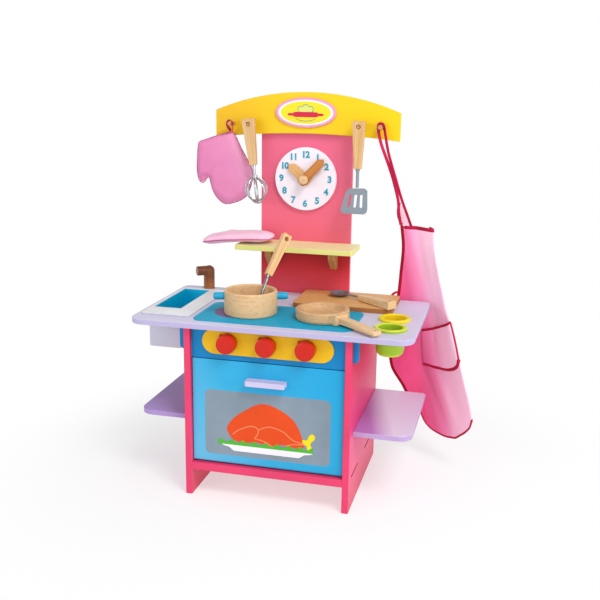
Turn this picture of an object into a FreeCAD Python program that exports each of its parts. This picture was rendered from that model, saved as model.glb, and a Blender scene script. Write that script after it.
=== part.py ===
import FreeCAD, Part
import math
import os

# Toy kitchen, built as separate pieces.  Millimetres, +Z up, +X to the right of somebody
# standing in front of the oven, +Y towards the back.  Everything is drawn with x = 0 in the
# middle of the cabinet, y = 0 on the front edges of the side panels and z = 0 on the floor;
# save() then moves it so that the middle of the whole outline stands on the frame origin.

V = FreeCAD.Vector
ORIGIN = V(58.6, 169.8, 0.0)

# ---- cabinet --------------------------------------------------------------------------
CAB_HALF = 189.0          # outer face of a side panel
SIDE_T = 15.0
SIDE_IN = CAB_HALF - SIDE_T
DEPTH = 342.6
BOARD_T = 12.0
COUNTER_TOP = 409.0
COUNTER_BOT = COUNTER_TOP - BOARD_T
COUNTER_HALF = 316.0
COUNTER_FRONT = -13.5
FLOOR_BOT = 61.5          # underside of the oven floor board
FLOOR_TOP = 79.5
RECESS = 10.0             # door and control board sit this far behind the side panels
CONTROL_BOT = 327.0
TONGUE_OUT = 12.0         # control board ends that stick out of the side panels
TONGUE_BOT = 344.0
BACK_Y = DEPTH - BOARD_T

# ---- oven door ------------------------------------------------------------------------
DOOR_HALF = 172.0
DOOR_BOT = 82.0
DOOR_TOP = 325.0
HINGE_Z = 88.0
HINGE_Y = RECESS + BOARD_T / 2.0
HINGE_R = 2.5

# ---- knobs ----------------------------------------------------------------------------
KNOB_X = (-88.0, 0.0, 88.0)
KNOB_Z = 367.0
KNOB_R = 21.5
SPINDLE_R = 4.0
RUN = 0.05                # running clearance on a radius

# ---- back panel, arch board, clock ------------------------------------------------------
PANEL_HALF = 113.5
PANEL_Y = DEPTH
ARCH_Y = PANEL_Y - BOARD_T
ARCH_HALF = 226.0
PEG_R = 5.0
PEG_LEN = 33.0
PEG_Z = 823.5
PEG_X = {"mitt": -182.0, "whisk": -133.5, "turner": 133.5, "apron": 182.5}
CLOCK_Z = 695.0
CLOCK_R = 76.0
CLOCK_T = 9.0
CLOCK_Y = PANEL_Y - CLOCK_T

# ---- upper shelf and side shelves -------------------------------------------------------
USHELF = (-150.0, 138.0, 240.0, PANEL_Y, 529.0, 541.0)
SHELF_OUT = 316.0
SHELF_Z = 167.0
SHELF_Y = (38.0, 334.0)

# ---- counter fittings -------------------------------------------------------------------
SINK_RIM = (-306.0, -190.0, 36.0, 302.0)
BASIN = (-303.0, -227.0, 78.0, 300.0)
BASIN_IN = (-298.0, -232.0, 95.0, 290.0)
BASIN_BOT = 320.0
TAP_XY = (-247.0, 327.0)
TAP_R = 14.0
HOB = (-178.0, 182.0, 14.0, 190.0)
HOB_TOP = COUNTER_TOP + 2.0
BURNER_R = 53.0
BURNERS = ((-98.0, 106.0), (100.0, 106.0))
CUP_XY = ((255.0, 150.0), (258.0, 68.0))
CUP_R = 31.0
CUP_RIM_R = 36.0
CUP_GAP = 0.3

# ---- pot, pan, tools --------------------------------------------------------------------
POT_XY = (-67.5, 107.5)
POT_R = 60.0
POT_H = 55.0
PAN_XY = (100.0, 106.0)
PAN_R = 60.0
PAN_H = 25.0
PAN_TURN = -39.0
CHOP = (6.0, 243.0, 193.0, 340.0)
HANDLE_L = 110.0
HANG_Y = 302.5            # middle of the hanging wooden handles


def box(x0, x1, y0, y1, z0, z1):
    return Part.makeBox(x1 - x0, y1 - y0, z1 - z0, V(x0, y0, z0))


def cyl(radius, length, base, axis):
    return Part.makeCylinder(radius, length, V(*base), V(*axis))


def edges_along(shape, axis):
    """Straight edges that run along X, Y or Z."""
    found = []
    for edge in shape.Edges:
        if isinstance(edge.Curve, Part.Line) and abs(edge.tangentAt(edge.FirstParameter).dot(axis)) > 0.999:
            found.append(edge)
    return found


def corner_edges(shape, corners, tol=0.5):
    """Upright edges that stand on the given (x, y) corners."""
    found = []
    for edge in edges_along(shape, V(0, 0, 1)):
        at = edge.Vertexes[0].Point
        if any(abs(at.x - x) < tol and abs(at.y - y) < tol for x, y in corners):
            found.append(edge)
    return found


def eased(shape, radius=1.2):
    """Break every edge of a simple board."""
    return shape.makeFillet(radius, shape.Edges)


def slab(x0, x1, y0, y1, z0, z1, corner, ease=1.0):
    """Flat board with rounded corners in plan and broken edges."""
    body = box(x0, x1, y0, y1, z0, z1)
    body = body.makeFillet(corner, edges_along(body, V(0, 0, 1)))
    if ease:
        rims = [e for e in body.Edges if abs(e.BoundBox.ZLength) < 1e-6]
        body = body.makeFillet(ease, rims)
    return body


def turned(profile, centre, axis=(0, 0, 1)):
    """Solid of revolution from (radius, height) points, standing on centre."""
    points = [V(r, 0, h) for r, h in profile]
    face = Part.Face(Part.makePolygon(points + [points[0]]))
    body = face.revolve(V(0, 0, 0), V(0, 0, 1), 360)
    body.Placement = FreeCAD.Placement(V(*centre), FreeCAD.Rotation(V(0, 0, 1), V(*axis)))
    return body


def spline_face(points, to_vector):
    """Flat face inside a smooth closed curve."""
    curve = Part.BSplineCurve()
    curve.interpolate([to_vector(*p) for p in points], PeriodicFlag=True)
    return Part.Face(Part.Wire([curve.toShape()]))


def tapered_bar(length, wide, thick, wide_end, thick_end):
    """Square wooden handle hanging down from z = 0, broad end up, with a hanging hole."""
    top = Part.makePolygon([V(x * wide / 2, y * thick / 2, 0)
                            for x, y in ((-1, -1), (1, -1), (1, 1), (-1, 1), (-1, -1))])
    low = Part.makePolygon([V(x * wide_end / 2, y * thick_end / 2, -length)
                            for x, y in ((-1, -1), (1, -1), (1, 1), (-1, 1), (-1, -1))])
    bar = Part.makeLoft([top, low], True, True)
    bar = bar.makeFillet(1.6, bar.Edges)
    hole = cyl(PEG_R + 0.6, thick + 10, (0, -thick / 2 - 5, -13), (0, 1, 0))
    return bar.cut(hole)


def round_path(points, radius):
    """Pipe along straight runs joined by tangent arcs; prints the arc radii."""
    edges = []
    start = points[0]
    radii = []
    for before, corner, after in zip(points, points[1:], points[2:]):
        a = (before - corner)
        b = (after - corner)
        shorter = min(a.Length, b.Length)
        a.normalize()
        b.normalize()
        half_turn = (math.pi - a.getAngle(b)) / 2.0
        bend = 0.45 * shorter / math.tan(half_turn)
        cut = 0.45 * shorter
        first = corner + a * cut
        last = corner + b * cut
        middle_dir = (a + b).normalize()
        centre_far = bend / math.cos(half_turn)
        middle = corner + middle_dir * (centre_far - bend)
        edges.append(Part.makeLine(start, first))
        edges.append(Part.Arc(first, middle, last).toShape())
        start = last
        radii.append(round(bend, 1))
    edges.append(Part.makeLine(start, points[-1]))
    print("arc radii", radii)
    wire = Part.Wire(edges)
    tangent = edges[0].tangentAt(edges[0].FirstParameter)
    ring = Part.Wire([Part.makeCircle(radius, points[0], tangent)])
    return wire.makePipeShell([ring], True, False)


def save(name, shape):
    """Write one piece, moved into the part frame."""
    out = shape.copy()
    if out.ShapeType == "Compound" and len(out.Solids) == 1:
        out = out.Solids[0]
    out.translate(ORIGIN.negative())
    out.exportStep("parts/" + name + ".step")
    bb = out.BoundBox
    print(f"{name:22s} valid={out.isValid()} solids={len(out.Solids)} vol={out.Volume:10.0f} "
          f"x {bb.XMin:7.1f} {bb.XMax:7.1f} y {bb.YMin:7.1f} {bb.YMax:7.1f} z {bb.ZMin:6.1f} {bb.ZMax:6.1f}")
    return out


# ---- cabinet ------------------------------------------------------------------------------

TENONS = ((40.0, 105.0), (220.0, 288.0))
TENON_Z = (64.5, 76.5)


def side_panel(sign):
    """Upright board with mortises for the oven floor and a top slot for the control board."""
    inner, outer = sorted((sign * SIDE_IN, sign * CAB_HALF))
    body = eased(box(inner, outer, 0, DEPTH, 0, COUNTER_BOT), 1.5)
    for y0, y1 in TENONS:
        body = body.cut(box(inner - 1, outer + 1, y0, y1, *TENON_Z))
    y0, y1 = RECESS - 0.1, RECESS + BOARD_T + 0.1
    body = body.cut(box(inner - 1, outer + 1, y0, y1, TONGUE_BOT, COUNTER_BOT + 1))
    pin_end = sign * (SIDE_IN + 8.0)
    start = min(sign * (SIDE_IN - 1), pin_end)
    return body.cut(cyl(HINGE_R, 9.0, (start, HINGE_Y, HINGE_Z), (1, 0, 0)))


def bottom_board():
    body = eased(box(-SIDE_IN, SIDE_IN, 0, BACK_Y, FLOOR_BOT, FLOOR_TOP))
    for y0, y1 in TENONS:
        tenon = box(-CAB_HALF, CAB_HALF, y0 + 0.1, y1 - 0.1, TENON_Z[0] + 0.1, TENON_Z[1] - 0.1)
        body = body.fuse(tenon)
    return body.removeSplitter()


def control_board():
    """Board over the door whose ends pass through the side panels."""
    body = box(-SIDE_IN, SIDE_IN, RECESS, RECESS + BOARD_T, CONTROL_BOT, COUNTER_BOT)
    reach = CAB_HALF + TONGUE_OUT
    tongue = box(-reach, reach, RECESS, RECESS + BOARD_T, TONGUE_BOT, COUNTER_BOT)
    low = [e for e in edges_along(tongue, V(0, 1, 0)) if abs(e.Vertexes[0].Point.z - TONGUE_BOT) < 0.1]
    tongue = tongue.makeFillet(9.0, low)
    body = body.fuse(tongue).removeSplitter()
    for x in KNOB_X:
        body = body.cut(cyl(SPINDLE_R + RUN, 40, (x, 0, KNOB_Z), (0, 1, 0)))
    return body


def stadium(x_half, z_mid, z_half, y0, y1):
    """Plate with two round ends, standing upright."""
    body = box(-x_half, x_half, y0, y1, z_mid - z_half, z_mid + z_half)
    body = body.makeFillet(z_half - 0.01, edges_along(body, V(0, 1, 0)))
    return body


def control_plate():
    body = stadium(148.0, KNOB_Z, 28.0, RECESS - 3.0, RECESS)
    front = [e for e in body.Edges if e.BoundBox.YLength < 1e-6 and e.BoundBox.YMin < RECESS - 2.9]
    body = body.makeFillet(0.8, front)
    for x in KNOB_X:
        body = body.cut(cyl(SPINDLE_R + RUN, 40, (x, 0, KNOB_Z), (0, 1, 0)))
    return body


def knob(x):
    """Turned knob with a pointer nub, its spindle and the washer that keeps it in."""
    front = -17.0
    back = RECESS - 3.5
    profile = [(0, 0), (KNOB_R - 4.0, 0), (KNOB_R - 1.2, 1.4), (KNOB_R - 0.3, 4.0), (KNOB_R, 9.0),
               (KNOB_R, back - front - 1.0), (KNOB_R - 1.0, back - front), (0, back - front)]
    body = turned(profile, (x, front, KNOB_Z), (0, 1, 0))
    nub = cyl(2.6, 7.0, (x - 15.9, back - 7.0, KNOB_Z + 15.9), (0, 1, 0))
    spindle = cyl(SPINDLE_R, 20.0, (x, back, KNOB_Z), (0, 1, 0))
    washer = cyl(9.0, 3.0, (x, RECESS + BOARD_T + 0.5, KNOB_Z), (0, 1, 0))
    return body.fuse([nub, spindle, washer]).removeSplitter()


def door_panel():
    body = box(-DOOR_HALF, DOOR_HALF, RECESS, RECESS + BOARD_T, DOOR_BOT, DOOR_TOP)
    low = [e for e in edges_along(body, V(1, 0, 0)) if abs(e.Vertexes[0].Point.z - DOOR_BOT) < 0.1]
    body = body.makeFillet(4.0, low)
    body = body.cut(window_plate(RECESS - 1.0))
    for sign in (-1, 1):
        start = min(sign * (DOOR_HALF - 14.0), sign * (DOOR_HALF + 1.0))
        body = body.cut(cyl(HINGE_R + RUN, 15.0, (start, HINGE_Y, HINGE_Z), (1, 0, 0)))
    body = body.cut(cyl(5.0, 2.0, (0, RECESS + BOARD_T - 2.0, DOOR_TOP - 12.0), (0, 1, 0)))
    return body


def window_plate(front):
    """Plate with rounded corners, let 1 mm into the front of the door."""
    body = box(-144.0, 144.0, front, RECESS + 1.0, 102.0, 255.0)
    return body.makeFillet(13.0, edges_along(body, V(0, 1, 0)))


def door_handle():
    body = box(-45.0, 45.0, RECESS - 24.0, RECESS, 277.5, 289.5)
    ends = [e for e in edges_along(body, V(0, 0, 1)) if e.Vertexes[0].Point.y < RECESS - 20]
    body = body.makeFillet(5.0, ends)
    rims = [e for e in body.Edges if abs(e.BoundBox.ZLength) < 1e-6 and e.BoundBox.YMin < RECESS - 5]
    return body.makeFillet(1.5, rims)


def hinge_pins():
    pins = []
    for sign in (-1, 1):
        start = min(sign * (DOOR_HALF - 12.0), sign * (SIDE_IN + 8.0))
        pins.append(cyl(HINGE_R, 22.0, (start, HINGE_Y, HINGE_Z), (1, 0, 0)))
    return Part.makeCompound(pins)


def door_catch():
    """Magnet block behind the control board that meets the top of the door."""
    back = RECESS + BOARD_T
    block = eased(box(-16.0, 16.0, back, back + 14.0, 305.0, CONTROL_BOT + 8.0), 1.0)
    return block.cut(box(-17.0, 17.0, back - 1.0, back + 0.6, 300.0, CONTROL_BOT))


# ---- counter --------------------------------------------------------------------------------


def counter():
    x, y0, y1 = COUNTER_HALF, COUNTER_FRONT, PANEL_Y
    body = box(-x, x, y0, y1, COUNTER_BOT, COUNTER_TOP)
    body = body.makeFillet(34.0, corner_edges(body, ((-x, y0), (x, y0))))
    body = body.makeFillet(18.0, corner_edges(body, ((-x, y1), (x, y1))))
    rims = [e for e in body.Edges if abs(e.BoundBox.ZLength) < 1e-6]
    body = body.makeFillet(1.5, rims)
    bx0, bx1, by0, by1 = BASIN
    body = body.cut(box(bx0, bx1, by0, by1, COUNTER_BOT - 1, COUNTER_TOP + 1))
    for cx, cy in CUP_XY:
        body = body.cut(cyl(CUP_R + CUP_GAP, 30, (cx, cy, COUNTER_BOT - 5), (0, 0, 1)))
    return body.cut(cyl(6.0 + RUN, 30, (TAP_XY[0], TAP_XY[1], COUNTER_BOT - 5), (0, 0, 1)))


def sink_tray():
    rx0, rx1, ry0, ry1 = SINK_RIM
    rim = slab(rx0, rx1, ry0, ry1, COUNTER_TOP, COUNTER_TOP + 3.0, 7.0, 1.2)
    bx0, bx1, by0, by1 = BASIN
    tub = box(bx0, bx1, by0, by1, BASIN_BOT, COUNTER_TOP)
    low = [e for e in tub.Edges if e.BoundBox.ZMax < BASIN_BOT + 1]
    tub = tub.makeFillet(5.0, low)
    body = rim.fuse(tub).removeSplitter()
    ix0, ix1, iy0, iy1 = BASIN_IN
    return body.cut(box(ix0, ix1, iy0, iy1, BASIN_BOT + 5.0, COUNTER_TOP + 5.0))


def sink_liner():
    ix0, ix1, iy0, iy1 = BASIN_IN
    low = BASIN_BOT + 5.0
    wall = 1.5
    body = box(ix0, ix1, iy0, iy1, low, COUNTER_TOP + 2.0)
    return body.cut(box(ix0 + wall, ix1 - wall, iy0 + wall, iy1 - wall, low + wall, COUNTER_TOP + 5.0))


def tap():
    """Post on a dowel with a rounded elbow and a spout over the basin."""
    x, y = TAP_XY
    mid = COUNTER_TOP + 45.0
    post = cyl(TAP_R, 45.0, (x, y, COUNTER_TOP + 0.3), (0, 0, 1))
    elbow = Part.makeSphere(TAP_R, V(x, y, mid))
    way = V(-0.80, -0.60, 0.0)
    spout = Part.makeCylinder(TAP_R - 2.0, 32.0, V(x, y, mid + 1.0), way)
    tip = V(x, y, mid + 1.0) + way * 32.0
    rims = [e for e in spout.Edges if e.CenterOfMass.distanceToPoint(tip) < 1.0]
    spout = spout.makeFillet(2.0, rims)
    dowel = cyl(6.0, 22.0, (x, y, COUNTER_TOP + 0.4 - 22.0), (0, 0, 1))
    outlet = cyl(3.0, 8.0, (x + way.x * 24.0, y + way.y * 24.0, mid - 13.0), (0, 0, 1))
    return post.fuse([elbow, spout, dowel]).removeSplitter().cut(outlet)


def hob_plate():
    x0, x1, y0, y1 = HOB
    body = slab(x0, x1, y0, y1, COUNTER_TOP, HOB_TOP, 24.0, 0.6)
    for cx, cy in BURNERS:
        body = body.cut(cyl(BURNER_R, 5.0, (cx, cy, HOB_TOP - 1.0), (0, 0, 1)))
    return body


def burners():
    return Part.makeCompound([cyl(BURNER_R, 1.0, (cx, cy, HOB_TOP - 1.0), (0, 0, 1)) for cx, cy in BURNERS])


def cup(centre):
    """Round cup that hangs in its hole by the rim."""
    top = 6.0
    low = -57.0
    out = [(0, low), (CUP_R - 13.0, low), (CUP_R - 6.5, low + 2.2), (CUP_R - 2.0, low + 7.0),
           (CUP_R - 0.4, low + 14.0), (CUP_R, low + 22.0), (CUP_R, 0.0), (CUP_RIM_R - 0.8, 0.0),
           (CUP_RIM_R, 1.2), (CUP_RIM_R, top - 1.8), (CUP_RIM_R - 1.6, top)]
    inn = [(CUP_R - 3.2, top), (CUP_R - 4.6, top - 1.6), (CUP_R - 4.8, low + 22.0),
           (CUP_R - 6.5, low + 12.0), (CUP_R - 14.0, low + 6.5), (0, low + 6.0)]
    return turned(out + inn, (centre[0], centre[1], COUNTER_TOP))


# ---- pot, pan and what lies on the counter ------------------------------------------------------


def pot_body():
    r, h = POT_R, POT_H
    profile = [(0, 0), (r - 4.0, 0), (r - 1.2, 1.2), (r, 4.0), (r, h - 3.0), (r - 1.2, h - 0.8),
               (r - 3.5, h), (r - 6.0, h - 0.8), (r - 7.5, h - 3.0), (r - 8.0, 12.0),
               (r - 10.0, 9.0), (r - 14.0, 8.0), (0, 8.0)]
    return turned(profile, (POT_XY[0], POT_XY[1], HOB_TOP))


def pot_handles():
    """Two round pegs glued into the pot wall on opposite sides."""
    pegs = []
    for angle in (18.0, 198.0):
        way = V(math.cos(math.radians(angle)), math.sin(math.radians(angle)), 0)
        base = V(POT_XY[0], POT_XY[1], HOB_TOP + 40.0) + way * (POT_R - 1.5)
        peg = Part.makeCylinder(8.5, 26.0, base, way)
        tip = base + way * 26.0
        rims = [e for e in peg.Edges if e.CenterOfMass.distanceToPoint(tip) < 1.0]
        pegs.append(peg.makeFillet(5.5, rims))
    return Part.makeCompound(pegs).cut(pot_body())


LADLE_BOWL = V(-60.0, 100.0, HOB_TOP + 8.4 + 19.0)
LADLE_LEAN = V(25.7, 66.6, 83.6)
LADLE_NECK = V(-38.5, 148.0, 492.0)
LADLE_SPIN = 40.0


def lean_place(shape, at, way, spin=0.0):
    """Put a piece that hangs along -Z from its top so that it points along way."""
    out = shape.copy()
    out.rotate(V(0, 0, 0), V(0, 0, 1), spin)
    turn = FreeCAD.Rotation(V(0, 0, 1), way)
    out.Placement = FreeCAD.Placement(at, turn).multiply(out.Placement)
    return out


def ladle_handle():
    way = LADLE_LEAN.normalize()
    bar = tapered_bar(HANDLE_L, 21.0, 18.0, 15.0, 14.0)
    return lean_place(bar, LADLE_NECK + way * HANDLE_L, way, LADLE_SPIN)


def ladle_steel():
    """Hemispherical bowl on a straight stem."""
    way = LADLE_LEAN.normalize()
    ball = Part.makeSphere(19.0, LADLE_BOWL).cut(Part.makeSphere(17.6, LADLE_BOWL))
    bowl = ball.common(box(-90, 0, 50, 150, LADLE_BOWL.z - 25, LADLE_BOWL.z))
    foot = V(LADLE_BOWL.x + 10.0, LADLE_BOWL.y + 15.0, LADLE_BOWL.z - 0.6)
    run = LADLE_NECK - foot
    stem = Part.makeCylinder(3.5, run.Length, foot, run)
    stem = stem.cut(Part.makeSphere(17.6, LADLE_BOWL))
    ferrule = Part.makeCylinder(4.8, 5.0, LADLE_NECK - way * 5.0, way)
    return bowl.fuse([stem, ferrule]).removeSplitter()


def pan_body():
    r, h = PAN_R, PAN_H
    profile = [(0, 0), (r - 6.0, 0), (r - 2.0, 1.5), (r, 6.0), (r, h - 3.0), (r - 1.0, h - 0.8),
               (r - 3.0, h), (r - 10.0, h), (r - 11.5, h - 1.2), (r - 13.0, h - 6.0),
               (r - 16.0, h - 12.0), (r - 22.0, h - 14.5), (0, h - 15.0)]
    return turned(profile, (PAN_XY[0], PAN_XY[1], HOB_TOP))


def square_wire(s, half, low, high):
    """Upright rectangle across the handle at distance s from the pan's middle."""
    return Part.makePolygon([V(s, y, z) for y, z in ((-half, low), (half, low), (half, high), (-half, high), (-half, low))])


def pan_handle():
    """Root block fitted to the pan wall and the square bar that leaves it."""
    root = box(44.0, 70.0, -20.0, 20.0, 2.0, 23.0)
    far = [e for e in edges_along(root, V(0, 0, 1)) if e.Vertexes[0].Point.distanceToPoint(V(70, 20, 2)) < 25
           and e.Vertexes[0].Point.y > 19 and e.Vertexes[0].Point.x > 69]
    root = root.makeFillet(9.0, far)
    bar = Part.makeLoft([square_wire(66.0, 10.5, 4.0, 18.5), square_wire(183.0, 11.0, 3.5, 13.0)], True, True)
    bar = bar.makeFillet(2.0, [e for e in bar.Edges if e.BoundBox.XMax > 100])
    body = root.fuse(bar).removeSplitter()
    body = body.cut(cyl(4.5, 40, (172, 0, -10), (0, 0, 1)))
    body.rotate(V(0, 0, 0), V(0, 0, 1), PAN_TURN)
    body.translate(V(PAN_XY[0], PAN_XY[1], HOB_TOP))
    return body.cut(cyl(PAN_R - 0.01, 60, (PAN_XY[0], PAN_XY[1], HOB_TOP - 10), (0, 0, 1)))


def cutting_board():
    x0, x1, y0, y1 = CHOP
    return slab(x0, x1, y0, y1, COUNTER_TOP, COUNTER_TOP + BOARD_T, 14.0, 2.0)


SPOON_TAIL = V(243.0, 193.0, COUNTER_TOP + BOARD_T + 10.0)
SPOON_WAY = V(88.0, -66.5, 2.4)
SPOON_BOWL = V(101.0, 287.0, COUNTER_TOP + BOARD_T)


def spoon_handle():
    way = SPOON_WAY.normalize()
    bar = tapered_bar(HANDLE_L, 27.0, 18.5, 17.0, 12.5)
    return lean_place(bar, SPOON_TAIL, way, 52.9)


def spoon_steel():
    """Round bowl lying on the board and the stem that runs up into the handle."""
    way = SPOON_WAY.normalize()
    neck = SPOON_TAIL - way * HANDLE_L
    middle = SPOON_BOWL + V(0, 0, 36.3)
    dish = Part.makeSphere(36.0, middle).cut(Part.makeSphere(34.6, middle))
    dish = dish.common(cyl(24.5, 9.8, SPOON_BOWL, (0, 0, 1)))
    side = neck - SPOON_BOWL
    side.z = 0
    foot = SPOON_BOWL + side.normalize() * 22.5 + V(0, 0, 8.2)
    run = neck - foot
    stem = Part.makeCylinder(2.8, run.Length, foot, run)
    ferrule = Part.makeCylinder(4.4, 5.0, neck - way * 5.0, way)
    return dish.fuse([stem, ferrule]).removeSplitter()


# ---- back panel, arch board, clock ---------------------------------------------------------------


def tall_panel():
    body = box(-PANEL_HALF, PANEL_HALF, PANEL_Y, PANEL_Y + BOARD_T, 250.0, 862.0)
    return eased(body, 1.5)


def arc_through(x, z_end, z_mid, y):
    return Part.Arc(V(-x, y, z_end), V(0, y, z_mid), V(x, y, z_end)).toShape()


def arch_board():
    x = ARCH_HALF
    top = arc_through(x, 855.0, 900.0, ARCH_Y)
    low = arc_through(x, 790.0, 803.5, ARCH_Y)
    left = Part.makeLine(V(-x, ARCH_Y, 855.0), V(-x, ARCH_Y, 790.0))
    right = Part.makeLine(V(x, ARCH_Y, 855.0), V(x, ARCH_Y, 790.0))
    face = Part.Face(Part.Wire(Part.__sortEdges__([top, right, low, left])))
    body = face.extrude(V(0, BOARD_T, 0))
    return body.makeFillet(1.2, body.Edges)


def badge():
    ring = Part.Ellipse(V(0, ARCH_Y, 852.5), 74.0, 35.0)
    edge = ring.toShape()
    edge.rotate(V(0, ARCH_Y, 852.5), V(1, 0, 0), 90)
    body = Part.Face(Part.Wire([edge])).extrude(V(0, -5.0, 0))
    front = [e for e in body.Edges if e.BoundBox.YMax < ARCH_Y - 4.9]
    return body.makeFillet(1.0, front)


def peg(x):
    body = cyl(PEG_R, PEG_LEN, (x, ARCH_Y, PEG_Z), (0, -1, 0))
    tip = [e for e in body.Edges if e.BoundBox.YMax < ARCH_Y - PEG_LEN + 0.5]
    return body.makeFillet(1.2, tip)


def clock_face():
    body = cyl(CLOCK_R, CLOCK_T, (0, PANEL_Y, CLOCK_Z), (0, -1, 0))
    front = [e for e in body.Edges if e.BoundBox.YMax < CLOCK_Y + 0.1 and e.BoundBox.XLength > 10]
    return body.makeFillet(1.2, front)


def clock_axle():
    """Pin through both hands with the turned knob that keeps them on."""
    pin = cyl(3.0, 19.0, (0, CLOCK_Y, CLOCK_Z), (0, -1, 0))
    profile = [(0, 0), (10.5, 0), (11.0, 1.0), (11.0, 8.0), (9.5, 10.5), (6.0, 12.0), (0, 12.6)]
    cap = turned(profile, (0, CLOCK_Y - 17.4, CLOCK_Z), (0, -1, 0))
    return pin.fuse(cap).removeSplitter()


def hand(reach, tail, wide, angle, y_back):
    """Flat bar with a right-angled tip, turned clockwise from twelve o'clock by angle."""
    w = wide / 2.0
    outline = [(-w, -tail + 4.0), (-w + 4.0, -tail), (w - 4.0, -tail), (w, -tail + 4.0),
               (w, reach - w), (0, reach), (-w, reach - w)]
    points = [V(x, 0, z) for x, z in outline]
    body = Part.Face(Part.makePolygon(points + [points[0]])).extrude(V(0, -8.0, 0))
    body = body.makeFillet(1.4, body.Edges)
    body = body.cut(cyl(3.0 + RUN, 30, (0, 10, 0), (0, -1, 0)))
    body.rotate(V(0, 0, 0), V(0, 1, 0), angle)
    body.translate(V(0, y_back, CLOCK_Z))
    return body


def upper_shelf():
    return slab(*USHELF, 5.0, 1.0)


def shelf_bracket(x):
    """Block under the shelf with a sloping lower front."""
    y0, y1, top = 292.0, PANEL_Y, USHELF[4]
    outline = [(y1, top), (y0, top), (y0, 508.0), (y1 - 18.0, 478.0), (y1, 478.0)]
    points = [V(x - 7.5, y, z) for y, z in outline]
    body = Part.Face(Part.makePolygon(points + [points[0]])).extrude(V(15.0, 0, 0))
    return body.makeFillet(1.2, body.Edges)


def side_shelf(sign):
    y0, y1 = SHELF_Y
    x0, x1 = sorted((sign * CAB_HALF, sign * SHELF_OUT))
    body = box(x0, x1, y0, y1, SHELF_Z, SHELF_Z + BOARD_T)
    outer = sign * SHELF_OUT
    body = body.makeFillet(30.0, corner_edges(body, ((outer, y0),)))
    body = body.makeFillet(12.0, corner_edges(body, ((outer, y1),)))
    rims = [e for e in body.Edges if abs(e.BoundBox.ZLength) < 1e-6]
    return body.makeFillet(1.2, rims)


def screws():
    """Heads of the screws that hold the tall panel to the cabinet and the arch board."""
    heads = []
    for x, z in ((-90, 275), (90, 275), (-90, 380), (90, 380), (-80, 815), (80, 815), (-40, 845), (40, 845)):
        heads.append(cyl(4.5, 2.0, (x, PANEL_Y + BOARD_T, z), (0, 1, 0)))
    return Part.makeCompound(heads)


# ---- hanging tools and cloth ---------------------------------------------------------------------

WHISK_TILT = -6.8
WIRE_R = 1.8


def hang(shape, x, tilt=0.0, y=HANG_Y):
    """Hook a tool drawn with its hole 13 mm below z = 0 on the peg at x."""
    out = shape.copy()
    out.translate(V(0, 0, 13.0))
    out.rotate(V(0, 0, 0), V(0, 1, 0), tilt)
    out.translate(V(x, y, PEG_Z))
    return out


def hung_handle(peg_name, tilt):
    return hang(tapered_bar(HANDLE_L, 31.5, 16.0, 17.5, 14.0), PEG_X[peg_name], tilt)


def whisk_steel():
    """Stem with four wire loops set at equal turns."""
    top = -HANDLE_L
    stem = cyl(3.6, 26.0, (0, 0, top - 26.0), (0, 0, 1))
    collar = cyl(6.6, 12.0, (0, 0, top - 37.0), (0, 0, 1))
    ferrule = cyl(5.2, 5.0, (0, 0, top - 5.0), (0, 0, 1))
    parts = [stem, collar, ferrule]
    z0 = top - 30.0
    for i in range(4):
        deep = 55.0 + 2.4 * i
        wide = 26.0 + 0.8 * i
        half = [(4.5, z0), (19.0, z0 - 10.0), (wide, z0 - 28.0), (wide * 0.84, z0 - deep + 13.0),
                (wide * 0.45, z0 - deep + 2.5), (0.0, z0 - deep)]
        points = [V(r, 0, z) for r, z in half] + [V(-r, 0, z) for r, z in reversed(half[:-1])]
        curve = Part.BSplineCurve()
        curve.interpolate(points)
        start = curve.tangent(curve.FirstParameter)[0]
        ring = Part.Wire([Part.makeCircle(WIRE_R, points[0], start)])
        loop = Part.Wire([curve.toShape()]).makePipeShell([ring], True, False)
        loop.rotate(V(0, 0, 0), V(0, 0, 1), 12.0 + 45.0 * i)
        parts.append(loop)
    return hang(parts[0].fuse(parts[1:]), PEG_X["whisk"], WHISK_TILT)


def turner_steel():
    """Stem and slotted blade; the blade leans forward below its bend."""
    top = -HANDLE_L
    stem = cyl(3.8, 44.0, (0, 0, top - 44.0), (0, 0, 1))
    ferrule = cyl(5.2, 5.0, (0, 0, top - 5.0), (0, 0, 1))
    outline = [(-18, -4), (19, -3), (25, -8), (28, -51), (26, -60), (20, -64), (-28, -64), (-35, -60),
               (-35, -52), (-25, -12)]
    points = [V(x, -1.2, z) for x, z in outline]
    blade = Part.Face(Part.makePolygon(points + [points[0]])).extrude(V(0, 2.4, 0))
    uprights = [e for e in blade.Edges if e.BoundBox.YLength > 2.0]
    blade = blade.makeFillet(3.0, uprights)
    for x, lean in ((-15.5, 9.0), (-2.0, 2.0), (12.0, -2.0)):
        slot = box(-3.2, 3.2, -5, 5, -49, -18)
        slot = slot.makeFillet(3.0, edges_along(slot, V(0, 1, 0)))
        slot.rotate(V(0, 0, -33), V(0, 1, 0), lean)
        slot.translate(V(x, 0, 0))
        blade = blade.cut(slot)
    blade.rotate(V(0, 0, 0), V(1, 0, 0), -14.0)
    blade.translate(V(0, -1.0, top - 42.0))
    return hang(stem.fuse([ferrule, blade]), PEG_X["turner"])


MITT_OUTLINE = ((-188, 803), (-176, 797), (-160, 763), (-131, 714), (-128, 700), (-131, 684), (-138, 665),
                (-146, 645), (-166, 634), (-199, 625), (-218, 634), (-236, 656), (-243, 685), (-248, 694),
                (-256, 680), (-265, 675), (-275, 684), (-277, 708), (-274, 757), (-271, 774), (-250, 785), (-211, 798))


def mitt_hanging():
    """Padded mitt hanging by its loop; its lower end swings in under the arch board."""
    y0, y1 = ARCH_Y - 17.0, ARCH_Y - 3.0
    body = spline_face(MITT_OUTLINE, lambda x, z: V(x, y0, z)).extrude(V(0, y1 - y0, 0))
    body.rotate(V(0, y1, 803), V(1, 0, 0), 4.5)
    return body


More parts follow.
